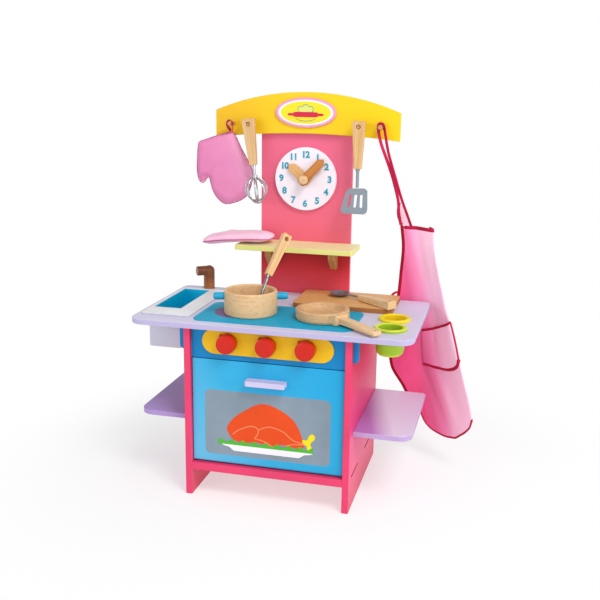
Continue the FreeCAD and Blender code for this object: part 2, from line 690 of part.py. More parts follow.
def mitt_loop():
    """Short hanging loop of tape round the peg, near its free end."""
    x, y = PEG_X["mitt"], ARCH_Y - 26.0
    up = PEG_R + 2.2
    points = [V(x - 2.0, y + 14.0, 806), V(x - 7.0, y + 2.0, 815), V(x - 7.6, y, PEG_Z + 5.0),
              V(x, y, PEG_Z + up + 2.6), V(x + 7.6, y, PEG_Z + 5.0), V(x + 7.0, y + 2.0, 815),
              V(x + 2.0, y + 14.0, 806)]
    return round_path(points, 1.6)


def mitt_shelf():
    """Padded mitt lying on the upper shelf with its cuff hanging past the end."""
    side = ((-70, 544), (-67, 556), (-80, 566), (-110, 569.5), (-150, 568.5), (-172, 566), (-183, 559),
            (-205, 555), (-226, 549), (-236, 541), (-230, 534), (-205, 533), (-175, 539.5), (-152, 542.5),
            (-120, 542.3), (-90, 542.2))
    plan = ((-66, 300), (-74, 328), (-104, 340), (-160, 341), (-205, 341), (-232, 336), (-237, 290),
            (-236, 250), (-205, 242), (-165, 240), (-130, 240), (-112, 250), (-96, 260), (-76, 272))
    body = spline_face(side, lambda x, z: V(x, 225, z)).extrude(V(0, 116.5, 0))
    cutter = spline_face(plan, lambda x, y: V(x, y, 500)).extrude(V(0, 0, 100))
    room = box(USHELF[0] - 0.5, USHELF[1], USHELF[2] - 5.0, USHELF[3] + 5.0, USHELF[4] - 5.0, USHELF[5] + 0.5)
    return body.common(cutter).cut(room)


# Apron: at each height, where the cloth begins behind the cabinet, where it turns round the
# counter's corner, and where it folds back at its free side (x and y).
APRON_ROWS = ((590, 235, 243, 313, 330), (540, 241, 256, 319, 322), (480, 238, 272, 334, 310),
              (420, 234, 288, 352, 300), (350, 225, 294, 376, 285), (290, 219, 299, 394, 270),
              (235, 226, 303, 411, 258), (185, 258, 306, 427, 246), (140, 280, 308, 432, 241),
              (94, 303, 314, 398, 262))
APRON_BACK = 352.0
APRON_T = 1.6


def cloth_row(height, left, turn, right, right_y):
    """Eight points along the cloth at one height."""
    start = V(turn + 6, APRON_BACK - 1, height)
    end = V(right, right_y, height)
    way = end - start
    out = V(-way.y, way.x, 0).normalize()
    back = min(1.0, (APRON_BACK - 3 - right_y) / 48.0)
    return [V(left, APRON_BACK, height), V((left + turn) / 2 + 2, APRON_BACK + 0.5, height), start,
            start + way * 0.3 + out * 8.0, start + way * 0.65 + out * 5.0, end,
            end + V(-6, 22, 0) * back, end + V(-26, 48, 0) * back]


def cloth_outline(front):
    """Closed thin outline of the cloth along one row: front curve, edge, back curve, edge."""
    back = []
    for i, point in enumerate(front):
        along = front[min(i + 1, len(front) - 1)] - front[max(i - 1, 0)]
        back.append(point + V(-along.y, along.x, 0).normalize() * APRON_T)
    edges = []
    for points in (front, back):
        curve = Part.BSplineCurve()
        curve.interpolate(points)
        edges.append(curve.toShape())
    start = Part.makeLine(back[0], front[0])
    end = Part.makeLine(front[-1], back[-1])
    return Part.Wire([edges[0], end, edges[1].reversed(), start])


def apron(first, last, levels, clear=0.0):
    """Part of the thin cloth between two points of its rows, starting clear of the first."""
    outlines = []
    for spec in APRON_ROWS[:levels]:
        row = cloth_row(*spec)[first:last + 1]
        row[0] = row[0] + (row[1] - row[0]).normalize() * clear
        outlines.append(cloth_outline(row))
    return Part.makeLoft(outlines, True, True)


def apron_strap():
    """Neck tape from one end of the top hem, over the peg and back."""
    y = ARCH_Y - 14.0
    x = PEG_X["apron"]
    points = [V(235, 342, 594), V(229, 339, 622), V(229, 332, 650), V(221, 324, 684), V(212, 322, 714),
              V(197, 320, 753), V(182, y, 790), V(x - 7.5, y, PEG_Z + 2), V(x - 3.5, y, PEG_Z + 8.2),
              V(x + 4.0, y, PEG_Z + 8.0), V(x + 8.0, y, PEG_Z), V(200, y, 772), V(211, 315, 738), V(223, 314, 703),
              V(238, 315, 657), V(253, 319, 620), V(262, 325, 594)]
    return round_path(points, 1.8)


def apron_tie():
    """Loose end of the waist tape lying over the back edge of the counter."""
    points = [V(234, 347, 427), V(226, 342, 424), V(218, 346, 418)]
    return round_path(points, 1.6)


def build():
    os.makedirs("parts", exist_ok=True)
    made = [
        save("side_panel_left", side_panel(-1)),
        save("side_panel_right", side_panel(1)),
        save("bottom_board", bottom_board()),
        save("back_board", eased(box(-SIDE_IN, SIDE_IN, BACK_Y, DEPTH, FLOOR_BOT, COUNTER_BOT), 1.0)),
        save("control_board", control_board()),
        save("control_plate", control_plate()),
        save("knob_left", knob(KNOB_X[0])),
        save("knob_middle", knob(KNOB_X[1])),
        save("knob_right", knob(KNOB_X[2])),
        save("door_panel", door_panel()),
        save("door_window", window_plate(RECESS)),
        save("door_handle", door_handle()),
        save("hinge_pins", hinge_pins()),
        save("door_catch", door_catch()),
        save("side_shelf_left", side_shelf(-1)),
        save("side_shelf_right", side_shelf(1)),
        save("counter", counter()),
        save("sink_tray", sink_tray()),
        save("sink_liner", sink_liner()),
        save("tap", tap()),
        save("hob_plate", hob_plate()),
        save("burners", burners()),
        save("cup_yellow", cup(CUP_XY[0])),
        save("cup_green", cup(CUP_XY[1])),
        save("pot_body", pot_body()),
        save("pot_handles", pot_handles()),
        save("ladle_handle", ladle_handle()),
        save("ladle_steel", ladle_steel()),
        save("pan_body", pan_body()),
        save("pan_handle", pan_handle()),
        save("cutting_board", cutting_board()),
        save("spoon_handle", spoon_handle()),
        save("spoon_steel", spoon_steel()),
        save("tall_panel", tall_panel()),
        save("arch_board", arch_board()),
        save("badge", badge()),
        save("peg_mitt", peg(PEG_X["mitt"])),
        save("peg_whisk", peg(PEG_X["whisk"])),
        save("peg_turner", peg(PEG_X["turner"])),
        save("peg_apron", peg(PEG_X["apron"])),
        save("clock_face", clock_face()),
        save("clock_axle", clock_axle()),
        save("hour_hand", hand(54.0, 14.0, 23.0, -50.0, CLOCK_Y - 0.3)),
        save("minute_hand", hand(68.0, 15.0, 21.0, 44.0, CLOCK_Y - 8.7)),
        save("upper_shelf", upper_shelf()),
        save("bracket_left", shelf_bracket(-82.0)),
        save("bracket_right", shelf_bracket(75.5)),
        save("screws", screws()),
        save("mitt_hanging", mitt_hanging()),
        save("mitt_shelf", mitt_shelf()),
        save("whisk_handle", hung_handle("whisk", WHISK_TILT)),
        save("whisk_steel", whisk_steel()),
        save("turner_handle", hung_handle("turner", 0.0)),
        save("turner_steel", turner_steel()),
        save("apron_back", apron(0, 2, 10)),
        save("apron_side", apron(2, 5, 10, 1.0)),
        save("apron_fold", apron(5, 7, 9, 7.0)),
    ]
    whole = Part.makeCompound(made).BoundBox
    print("outline", whole)
    save("mitt_loop", mitt_loop())
    save("apron_strap", apron_strap())
    save("apron_tie", apron_tie())


build()
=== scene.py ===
import math
import bpy
import bmesh
from mathutils import Vector, Matrix, noise


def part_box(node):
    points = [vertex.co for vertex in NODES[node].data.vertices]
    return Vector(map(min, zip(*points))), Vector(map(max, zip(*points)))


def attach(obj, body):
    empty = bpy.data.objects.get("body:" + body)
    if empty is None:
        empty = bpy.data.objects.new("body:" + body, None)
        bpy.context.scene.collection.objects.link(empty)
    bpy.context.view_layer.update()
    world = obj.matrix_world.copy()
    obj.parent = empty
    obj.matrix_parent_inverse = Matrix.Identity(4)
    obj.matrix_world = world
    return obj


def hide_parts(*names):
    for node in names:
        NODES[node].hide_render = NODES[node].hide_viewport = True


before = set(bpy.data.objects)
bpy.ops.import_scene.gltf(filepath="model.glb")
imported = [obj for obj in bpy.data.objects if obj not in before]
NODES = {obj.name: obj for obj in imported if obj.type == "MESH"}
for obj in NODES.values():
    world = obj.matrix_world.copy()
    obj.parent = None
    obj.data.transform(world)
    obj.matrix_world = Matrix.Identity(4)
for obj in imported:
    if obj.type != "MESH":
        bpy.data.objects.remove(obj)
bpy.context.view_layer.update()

# The part frame stands under the middle of the outline. Drawings below are in millimetres from the
# middle and the front edge of the cabinet; at() turns them into the part frame, in metres.
SHIFT = (58.6, 169.8, 0.0)
UP, FRONT, RIGHT = (0, 0, 1), (0, -1, 0), (1, 0, 0)


def at(x, y, z):
    return Vector(((x - SHIFT[0]) / 1000, (y - SHIFT[1]) / 1000, z / 1000))


def drawn(v):
    """The other way round: a point of the part frame in drawing millimetres."""
    return Vector((v.x * 1000 + SHIFT[0], v.y * 1000 + SHIFT[1], v.z * 1000))


def add_object(name, data):
    obj = bpy.data.objects.new(name, data)
    bpy.context.scene.collection.objects.link(obj)
    return obj


# ---- camera -----------------------------------------------------------------------------------

CAMERA_AT = (500.7, -1709.9, 904.1)
CAMERA_ANGLES = (14.0065, 13.645, 0.838)    # yaw, pitch and roll, degrees
CAMERA_LENS = 51.865


def make_camera():
    yaw, pitch, roll = (math.radians(a) for a in CAMERA_ANGLES)
    forward = Vector((-math.sin(yaw) * math.cos(pitch), math.cos(yaw) * math.cos(pitch), -math.sin(pitch)))
    flat = Vector((math.cos(yaw), math.sin(yaw), 0))
    rise = flat.cross(forward)
    right = flat * math.cos(roll) + rise * math.sin(roll)
    up = rise * math.cos(roll) - flat * math.sin(roll)
    data = bpy.data.cameras.new("camera")
    data.lens = CAMERA_LENS
    data.sensor_width = 36.0
    data.clip_end = 50.0
    cam = add_object("camera", data)
    turn = Matrix((right, up, -forward)).transposed().to_4x4()
    cam.matrix_world = Matrix.Translation(at(*CAMERA_AT)) @ turn
    bpy.context.scene.camera = cam


make_camera()
bpy.context.scene.view_settings.view_transform = "Standard"

# ---- materials --------------------------------------------------------------------------------

ALBEDO = 0.86           # colours are a little darker, because the studio light is a little over one
SOCKETS = {"coat": "Coat Weight", "coat_rough": "Coat Roughness", "shine": "Specular IOR Level",
           "metallic": "Metallic", "sheer": "Subsurface Weight", "sheer_scale": "Subsurface Scale",
           "sheen": "Sheen Weight", "sheen_rough": "Sheen Roughness", "sheen_tint": "Sheen Tint",
           "through": "Emission Strength"}


def lin(rgb):
    """sRGB 0-255 to linear RGBA."""
    out = []
    for c in rgb:
        c /= 255.0
        out.append(ALBEDO * (c / 12.92 if c <= 0.04045 else ((c + 0.055) / 1.055) ** 2.4))
    return (*out, 1.0)


def shade(rgb, k):
    return tuple(min(255.0, c * k) for c in rgb)


def turn_to_x(axis):
    """Euler angles that turn axis onto X, for grain and brush marks that run along X."""
    return tuple(Vector(axis).normalized().rotation_difference(Vector((1, 0, 0))).to_euler())


class Nodes:
    """A material whose shader nodes are added and linked in short calls."""

    def __init__(self, name):
        self.mat = bpy.data.materials.new(name)
        self.mat.use_nodes = True
        self.tree = self.mat.node_tree
        self.bsdf = self.tree.nodes["Principled BSDF"]

    def add(self, kind, **values):
        node = self.tree.nodes.new(kind)
        for key, value in values.items():
            if key in node.inputs:
                node.inputs[key].default_value = value
            else:
                setattr(node, key, value)
        return node

    def link(self, out, into):
        self.tree.links.new(out, into)

    def surface(self, color, **values):
        """Link the base colour and set constants on the shader's own sockets."""
        self.link(color, self.bsdf.inputs["Base Color"])
        for key, value in values.items():
            self.bsdf.inputs[SOCKETS[key]].default_value = value
        return self.mat

    def mapped(self, vector, scale=(1, 1, 1), turn=(0, 0, 0)):
        node = self.add("ShaderNodeMapping")
        node.inputs["Rotation"].default_value = turn
        node.inputs["Scale"].default_value = scale
        self.link(vector, node.inputs["Vector"])
        return node.outputs["Vector"]

    def coords(self, scale=(1, 1, 1), turn=(0, 0, 0)):
        """Object coordinates, turned first and scaled after."""
        tex = self.add("ShaderNodeTexCoord")
        return self.mapped(self.mapped(tex.outputs["Object"], turn=turn), scale)

    def along(self, axis, output):
        """Object coordinates, or the object's normal, measured along axis."""
        tex = self.add("ShaderNodeTexCoord")
        dot = self.add("ShaderNodeVectorMath", operation="DOT_PRODUCT")
        dot.inputs[1].default_value = axis
        self.link(tex.outputs[output], dot.inputs[0])
        return dot.outputs["Value"]

    def rescaled(self, value, source=(0.0, 1.0), target=(0.0, 1.0), kind="LINEAR"):
        node = self.add("ShaderNodeMapRange", interpolation_type=kind)
        for name, number in zip(("From Min", "From Max", "To Min", "To Max"), (*source, *target)):
            node.inputs[name].default_value = number
        self.link(value, node.inputs["Value"])
        return node.outputs["Result"]

    def noise(self, vector, scale, detail=3.0, rough=0.5):
        node = self.add("ShaderNodeTexNoise", Scale=scale, Detail=detail, Roughness=rough)
        self.link(vector, node.inputs["Vector"])
        return node.outputs["Fac"]

    def ramp(self, fac, stops):
        node = self.add("ShaderNodeValToRGB")
        ramp = node.color_ramp
        while len(ramp.elements) < len(stops):
            ramp.elements.new(0.5)
        for element, (pos, color) in zip(ramp.elements, stops):
            element.position = pos
            element.color = color
        self.link(fac, node.inputs["Fac"])
        return node.outputs["Color"]

    def mottled(self, fac, rgb, down, up):
        """One colour that drifts between two shades of itself."""
        return self.ramp(fac, ((0.3, lin(shade(rgb, down))), (0.7, lin(shade(rgb, up)))))

    def roughness(self, fac, low, high):
        self.link(self.rescaled(fac, target=(low, high)), self.bsdf.inputs["Roughness"])

    def across(self, axis, stops):
        """Colour that changes along axis; stops are (distance in metres, colour)."""
        low, high = stops[0][0], stops[-1][0]
        way = self.rescaled(self.along(axis, "Object"), (low, high))
        return self.ramp(way, [((v - low) / (high - low), lin(c)) for v, c in stops])

    def mixed(self, first, second, factor, blend="MIX"):
        """Mix of two colours; a number, a colour and a node's output all serve as input."""
        mix = self.add("ShaderNodeMix", data_type="RGBA", blend_type=blend)
        for key, value in (("Factor", factor), (6, first), (7, second)):
            if isinstance(value, (float, tuple)):
                mix.inputs[key].default_value = value
            else:
                self.link(value, mix.inputs[key])
        return mix.outputs[2]

    def facing(self, axis, both=False):
        """1 on faces that look along axis, or along it either way, and 0 on the others."""
        value = self.along(axis, "Normal")
        if both:
            size = self.add("ShaderNodeMath", operation="ABSOLUTE")
            self.link(value, size.inputs[0])
            value = size.outputs[0]
        return self.rescaled(value, (0.35, 0.85), kind="SMOOTHSTEP")

    def edged(self, color, rgb):
        """Another tone on the narrow upright edges of a lying board."""
        return self.mixed(lin(rgb), color, self.facing(UP, True))

    def bump(self, height, strength, distance, under=None):
        node = self.add("ShaderNodeBump", Strength=strength, Distance=distance)
        self.link(height, node.inputs["Height"])
        if under is not None:
            self.link(under, node.inputs["Normal"])
        self.link(node.outputs["Normal"], self.bsdf.inputs["Normal"])


def paint(name, rgb, rough=0.42, coat=0.08, vary=0.03, gradient=None, face=UP, edge=None, shine=0.22):
    """Sprayed paint on board: faint cloudiness, fine orange peel; the gradient shows on one face."""
    n = Nodes(name)
    v = n.coords()
    color = n.mottled(n.noise(v, 9.0, 4.0), rgb, 1 - vary, 1 + vary)
    if gradient:
        color = n.mixed(color, n.across(*gradient), n.facing(face))
    if edge:
        color = n.edged(color, edge)
    n.roughness(n.noise(v, 60.0), rough - 0.05, rough + 0.07)
    n.bump(n.noise(v, 700.0, 2.0), 0.12, 0.0004)
    return n.surface(color, coat=coat, coat_rough=0.25, shine=shine)


def wood(name, light, dark, axis, rough=0.5, grain=1.0, coat=0.1, edge=None, gradient=None):
    """Straight-grained turned or sawn wood; the grain runs along axis."""
    n = Nodes(name)
    v = n.coords(turn=turn_to_x(axis))
    bands = n.noise(n.mapped(v, (4.0, 190.0 * grain, 190.0 * grain)), 1.0, 4.0, 0.55)
    middle = tuple((a + b) / 2 for a, b in zip(light, dark))
    color = n.ramp(bands, ((0.28, lin(dark)), (0.42, lin(middle)), (0.55, lin(light)), (0.78, lin(middle))))
    fine = n.noise(n.mapped(v, (30.0, 900.0, 900.0)), 1.0, 2.0)
    pores = n.ramp(fine, ((0.35, (0.72, 0.66, 0.60, 1)), (0.55, (1, 1, 1, 1))))
    color = n.mixed(color, pores, 0.35, "MULTIPLY")
    if edge:
        color = n.edged(color, edge)
    if gradient:
        color = n.mixed(color, n.across(*gradient), 0.55)
    n.roughness(bands, rough - 0.06, rough + 0.08)
    n.bump(fine, 0.18, 0.0003)
    return n.surface(color, coat=coat, coat_rough=0.3, shine=0.25)


def metal(name, rgb, rough=0.3, axis=UP, metallic=1.0):
    """Brushed or lacquered metal with marks along axis."""
    n = Nodes(name)
    marks = n.noise(n.coords((20.0, 1500.0, 1500.0), turn_to_x(axis)), 1.0, 2.0)
    n.roughness(marks, rough - 0.05, rough + 0.1)
    n.bump(marks, 0.08, 0.0002)
    return n.surface(n.mottled(marks, rgb, 0.93, 1.05), metallic=metallic)


def plastic(name, rgb, rough=0.3, vary=0.03, sheer=0.0, edge=None):
    """Moulded plastic: even colour, faint flow marks, fine grain."""
    n = Nodes(name)
    v = n.coords()
    color = n.mottled(n.noise(v, 14.0), rgb, 1 - vary, 1 + vary)
    if edge:
        color = n.edged(color, edge)
    n.roughness(n.noise(v, 90.0), rough - 0.04, rough + 0.06)
    n.bump(n.noise(v, 1400.0, 1.0), 0.06, 0.0002)
    return n.surface(color, shine=0.3, sheer=sheer, sheer_scale=0.003)


def fabric(name, rgb, deep, weave=1500.0, sheen=0.25, patches=14.0, gradient=None, through=0.0):
    """Plain-woven cotton: crossed threads, slight colour drift, soft sheen.

    through sets a faint painted glow in the cloth's own colour, which stands in for the studio light that
    thin cloth lets pass from behind.
    """
    n = Nodes(name)
    v = n.coords()
    color = n.ramp(n.noise(v, patches), ((0.25, lin(deep)), (0.6, lin(rgb))))
    if gradient:
        color = n.mixed(color, n.across(*gradient), 0.8)
    thread = n.add("ShaderNodeMath", operation="MAXIMUM")
    for k, turn in enumerate(((0, 0, 0), (0, math.pi / 2, 0))):
        wave = n.add("ShaderNodeTexWave", wave_type="BANDS", Scale=weave / 6.283, Distortion=0.6, Detail=1.0)
        n.link(n.mapped(v, turn=turn), wave.inputs["Vector"])
        n.link(wave.outputs["Fac"], thread.inputs[k])
    gaps = n.ramp(thread.outputs[0], ((0.2, (0.75, 0.75, 0.75, 1)), (0.7, (1, 1, 1, 1))))
    color = n.mixed(color, gaps, 0.2, "MULTIPLY")
    if through:
        n.link(color, n.bsdf.inputs["Emission Color"])
    rumple = n.add("ShaderNodeBump", Strength=0.25, Distance=0.002)
    n.link(n.noise(v, 55.0, 4.0), rumple.inputs["Height"])
    n.bump(thread.outputs[0], 0.25, 0.0003, rumple.outputs["Normal"])
    n.roughness(n.noise(v, 40.0), 0.75, 0.95)
    tint = lin(tuple((c + 255) / 2 for c in rgb))
    return n.surface(color, sheen=sheen, sheen_rough=0.4, sheen_tint=tint, shine=0.2, through=through)


def dress(material, *nodes):
    """Give CAD nodes a material."""
    for node in nodes:
        mesh = NODES[node].data
        mesh.materials.clear()
        mesh.materials.append(material)


TAPE = fabric("tape_crimson", (206, 30, 80), (184, 20, 62), 2600.0, 0.15)
# the same crimson tape in painted shade, for the apron's left edge, which lies in the shadow of the counter
TAPE_PAINTED_SHADE = fabric("tape_crimson_painted_shade", (176, 14, 44), (140, 8, 34), 2600.0, 0.15)
FLAP = fabric("cotton_pale", (255, 222, 238), (252, 206, 226), 1700.0, 0.2)
# deep pink at the side in the shadow of the counter, nearly white where the cloth faces the lamp
CLOTH_STOPS = ((0.285, (232, 28, 110)), (0.308, (216, 66, 124)), (0.335, (244, 136, 184)),
               (0.360, (253, 202, 230)), (0.400, (253, 220, 240)))
# the apron cloth also has a faint painted glow in its own colour
CLOTH = fabric("cotton_pink", (255, 176, 212), (252, 160, 202), 1700.0, 0.2, through=0.2,
               gradient=((1.0, 0.0, 0.24), CLOTH_STOPS))
MITT_STOPS = ((-0.12, (226, 128, 178)), (-0.02, (236, 146, 192)), (0.03, (250, 178, 214)))
MITT = fabric("mitt_pink", (240, 156, 198), (230, 132, 182), 1500.0, 0.3, 20.0,
              gradient=((1.0, 0.0, 0.3), MITT_STOPS))
MITT_PALE = fabric("mitt_pale", (255, 208, 230), (250, 190, 218), 1500.0, 0.3, 20.0)
MITT_SEAM = fabric("mitt_seam", (206, 96, 152), (190, 80, 140), 2400.0, 0.2)

# ---- curves and surfaces ------------------------------------------------------------------------


def spline(points, t):
    """Point at t, from 0 to 1, on a Catmull-Rom curve through the points."""
    last = len(points) - 1
    pos = min(max(t, 0.0), 1.0) * last
    i = min(int(pos), last - 1)
    f = pos - i
    p1, p2 = points[i], points[i + 1]
    p0 = points[i - 1] if i > 0 else p1 * 2 - p2
    p3 = points[i + 2] if i + 2 <= last else p2 * 2 - p1
    return (p1 * 2 + (p2 - p0) * f + (p0 * 2 - p1 * 5 + p2 * 4 - p3) * f * f
            + (p1 * 3 - p0 - p2 * 3 + p3) * f * f * f) * 0.5


def closed_curve(points, steps=6):
    """Smooth closed outline through 2-D points."""
    pts = [Vector((*p, 0)) for p in points]
    n = len(pts)
    out = []
    for i in range(n):
        ring = [pts[(i + k) % n] for k in (-1, 0, 1, 2)]
        for s in range(steps):
            p = spline(ring, (1 + s / steps) / 3)
            out.append((p.x, p.y))
    return out


def mesh_from(bm, name):
    mesh = bpy.data.meshes.new(name)
    bm.to_mesh(mesh)
    bm.free()
    return mesh


def new_piece(name, data, material, body):
    """Visible piece that rides on a body."""
    data.materials.append(material)
    obj = add_object(name, data)
    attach(obj, body)
    return obj


def smooth_piece(name, verts, faces, material, body):
    mesh = bpy.data.meshes.new(name)
    mesh.from_pydata([tuple(v) for v in verts], [], faces)
    mesh.update()
    mesh.shade_smooth()
    return new_piece(name, mesh, material, body)


def slab(name, outline, place, low, high):
    """Closed mesh of an outline between two levels; place(a, b, level) gives millimetres."""
    bm = bmesh.new()
    first, second = ([bm.verts.new(at(*place(a, b, level))) for a, b in outline] for level in (low, high))
    bm.faces.new(first[::-1])
    bm.faces.new(second)
    for i in range(len(outline)):
        k = (i + 1) % len(outline)
        bm.faces.new((first[i], first[k], second[k], second[i]))
    bmesh.ops.recalc_face_normals(bm, faces=bm.faces)
    return mesh_from(bm, name)


def plate(name, outline, y, thick, material, body):
    """Flat relief print facing the front: closed outline of (x, z), its face at y."""
    mesh = slab(name, outline, lambda x, z, level: (x, level, z), y, y + thick)
    return new_piece(name, mesh, material, body)


def tube(name, points, radius, material, body, flat=1.0, sides=10, close=False, lift=None):
    """Round or flattened strip swept along points; lift gives the direction of its thin side."""
    verts = []
    n = len(points)
    for i, p in enumerate(points):
        if close:
            way = points[(i + 1) % n] - points[i - 1]
        else:
            way = points[min(i + 1, n - 1)] - points[max(i - 1, 0)]
        way.normalize()
        thin = Vector(lift[i]) if lift else Vector((0, -1, 0))
        side = way.cross(thin)
        side = side.normalized() if side.length > 1e-6 else Vector((1, 0, 0))
        thin = side.cross(way).normalized()
        for k in range(sides):
            a = math.tau * k / sides
            verts.append(p + side * math.cos(a) * radius + thin * math.sin(a) * radius * flat)
    faces = []
    for i in range(n if close else n - 1):
        for k in range(sides):
            a, b = i * sides + k, i * sides + (k + 1) % sides
            c, d = ((i + 1) % n) * sides + (k + 1) % sides, ((i + 1) % n) * sides + k
            faces.append((a, b, c, d))
    if not close:
        faces.append(tuple(range(sides))[::-1])
        faces.append(tuple((n - 1) * sides + k for k in range(sides)))
    return smooth_piece(name, verts, faces, material, body)


# ---- tapes (cords) --------------------------------------------------------------------------------


def ribbon(name, points, half_width, half_thick, body):
    """Flat tape along a spline, lengths of its section in metres."""
    data = bpy.data.curves.new(name, "CURVE")
    data.dimensions = "3D"
    data.twist_mode = "MINIMUM"
    data.resolution_u = 8
    data.extrude = half_width - half_thick
    data.bevel_depth = half_thick
    data.bevel_resolution = 1
    data.use_fill_caps = True
    run = data.splines.new("NURBS")
    run.points.add(len(points) - 1)
    for k, p in enumerate(points):
        run.points[k].co = (*at(*p), 1.0)
    run.order_u = 3
    run.use_endpoint_u = True
    return new_piece(name, data, TAPE, body)


def tapes():
    """Neck tape of the apron, from the bib over its peg and back, and the loop of the hanging mitt."""
    strap = [(235, 342, 594), (229, 339, 622), (229, 332, 650), (221, 324, 684), (212, 322, 714),
             (197, 320, 753), (182, 316.6, 790), (175, 316.6, 825.5), (179, 316.6, 831.7),
             (186.5, 316.6, 831.5), (190.5, 316.6, 823.5), (200, 316.6, 772), (211, 315, 738),
             (223, 314, 703), (238, 315, 657), (253, 319, 620), (262, 325, 594)]
    neck = ribbon("neck_tape", strap, 0.0038, 0.0008, "apron_cloth")
    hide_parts("apron_strap")
    loop = [(-184, 318.6, 806), (-189, 306.6, 815), (-189.6, 304.6, 828.5), (-182, 304.6, 833.3),
            (-174.4, 304.6, 828.5), (-175, 306.6, 815), (-180, 318.6, 806)]
    hook = ribbon("mitt_tape", loop, 0.0038, 0.0009, "hanging_mitt")
    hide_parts("mitt_loop")


tapes()

# ---- apron ----------------------------------------------------------------------------------------

APRON_BACK = 352.0
CLOTH_THICK = 1.2
# height, left end, turn where the cloth comes forward, right end, and how far forward that end is
APRON_ROWS = ((592, 235, 243, 313, 330), (540, 241, 256, 319, 322), (480, 238, 272, 334, 310),
              (420, 234, 288, 352, 300), (350, 225, 294, 376, 285), (290, 219, 299, 394, 270),
              (235, 226, 303, 411, 258), (185, 258, 306, 427, 246), (140, 280, 308, 436, 241),
              (92, 303, 312, 444, 236))
# station across the cloth and height there, along the lower and the upper edge
HEM = ((0.0, 168), (0.14, 132), (0.28, 95), (0.42, 78), (0.54, 86), (0.62, 110), (0.68, 134), (0.715, 152),
       (0.86, 164), (1.0, 168))
TOP = ((0.0, 597), (0.2, 590), (0.45, 589), (0.72, 588), (1.0, 590))
# station, height, lean of the line, half width, half height, depth towards the front
APRON_FOLDS = ((0.37, 170, -0.16, 0.040, 66, -10.5), (0.47, 190, -0.14, 0.05, 80, 4.5),
               (0.30, 130, -0.12, 0.04, 60, 3.0), (0.60, 470, 0.10, 0.06, 70, -1.6),
               (0.66, 400, 0.0, 0.05, 25, 2.6), (0.52, 520, 0.0, 0.08, 80, 1.4),
               (0.44, 330, 0.0, 0.05, 80, -2.5), (0.12, 300, 0.05, 0.05, 120, 2.0))
POCKET = (0.27, 0.725)          # stations of its left and right edge
POCKET_TOP = (337, 378)         # heights at its left and right edge
POCKET_LOW = (248, 292)


def at_station(table, s):
    """Height of a smooth line given by stations across the cloth."""
    stations = [row[0] for row in table]
    for i, (a, b) in enumerate(zip(stations, stations[1:])):
        if s <= b:
            t = (i + (s - a) / (b - a)) / (len(table) - 1)
            return spline([Vector((u, v, 0)) for u, v in table], t).y
    return table[-1][1]


def row_at(z):
    """Left end, turn, right end and how far forward that is, at a height."""
    heights = [r[0] for r in APRON_ROWS]
    z = min(max(z, heights[-1]), heights[0])
    for i, (hi, lo) in enumerate(zip(heights, heights[1:])):
        if z >= lo:
            f = (hi - z) / (hi - lo)
            t = (i + f) / (len(heights) - 1)
            break
    pairs = [spline([Vector((r[k], r[k + 1], 0)) for r in APRON_ROWS], t) for k in (1, 3)]
    return pairs[0].x, pairs[0].y, pairs[1].x, pairs[1].y


def apron_point(s, z):
    """Point of the cloth at station s along its width and at height z, in millimetres."""
    left, turn, right, right_y = row_at(z)
    start = Vector((turn + 6, APRON_BACK - 1, z))
    end = Vector((right, right_y, z))
    way = end - start
    out = Vector((-way.y, way.x, 0)).normalized()
    back = min(1.0, (APRON_BACK - 3 - right_y) / 48.0)
    points = [Vector((left, APRON_BACK, z)), Vector(((left + turn) / 2 + 2, APRON_BACK + 0.5, z)), start,
              start + way * 0.3 + out * 8, start + way * 0.65 + out * 5, end,
              end + Vector((-6, 22, 0)) * back, end + Vector((-26, 48, 0)) * back]
    p = spline(points, s)
    ripple = 0.0
    for s0, z0, ds, wide, tall, amount in APRON_FOLDS:
        lean = s0 + ds * (z - z0) / 100.0
        ripple += amount * math.exp(-((s - lean) / wide) ** 2 - ((z - z0) / tall) ** 2)
    n = Vector((way.y, -way.x, 0)).normalized()
    return p + n * ripple


def apron_uv(u, v):
    top, hem = at_station(TOP, u), at_station(HEM, u)
    return apron_point(u, top + (hem - top) * v)


def pocket_point(u, v):
    """Point of the pocket, a loose patch that stands off the cloth."""
    s = POCKET[0] + (POCKET[1] - POCKET[0]) * u
    top = POCKET_TOP[0] + (POCKET_TOP[1] - POCKET_TOP[0]) * u - 4 * math.sin(math.pi * u)
    bottom = POCKET_LOW[0] + (POCKET_LOW[1] - POCKET_LOW[0]) * u ** 4
    z = top + (bottom - top) * v
    side = apron_point(s + 0.01, z) - apron_point(s - 0.01, z)
    belly = math.sin(math.pi * min(1.0, u * 0.9 + 0.08)) ** 0.8
    puff = 1.6 + 9.0 * belly * (math.sin(math.pi * (0.12 + 0.88 * v) ** 0.8)) ** 0.8
    return apron_point(s, z) + Vector((side.y, -side.x, 0)).normalized() * puff


def cloth_grid(name, nu, nv, point):
    """Thin closed sheet over a grid; point(u, v) gives millimetres."""
    grid = [[point(i / (nu - 1), j / (nv - 1)) for j in range(nv)] for i in range(nu)]
    front, back = [], []
    for i in range(nu):
        for j in range(nv):
            du = grid[min(i + 1, nu - 1)][j] - grid[max(i - 1, 0)][j]
            dv = grid[i][min(j + 1, nv - 1)] - grid[i][max(j - 1, 0)]
            half = dv.cross(du).normalized() * CLOTH_THICK / 2
            front.append(at(*(grid[i][j] + half)))
            back.append(at(*(grid[i][j] - half)))
    faces = []
    for i in range(nu - 1):
        for j in range(nv - 1):
            a, b = i * nv + j, (i + 1) * nv + j
            faces.append((a, b, b + 1, a + 1))
    total = nu * nv
    faces += [tuple(total + k for k in f[::-1]) for f in faces]
    rim = [i * nv for i in range(nu)] + [(nu - 1) * nv + j for j in range(1, nv)]
    rim += [i * nv + nv - 1 for i in range(nu - 2, -1, -1)] + list(range(nv - 2, 0, -1))
    for a, b in zip(rim, rim[1:] + rim[:1]):
        faces.append((b, a, total + a, total + b))
    return smooth_piece(name, front + back, faces, CLOTH, "apron_cloth")


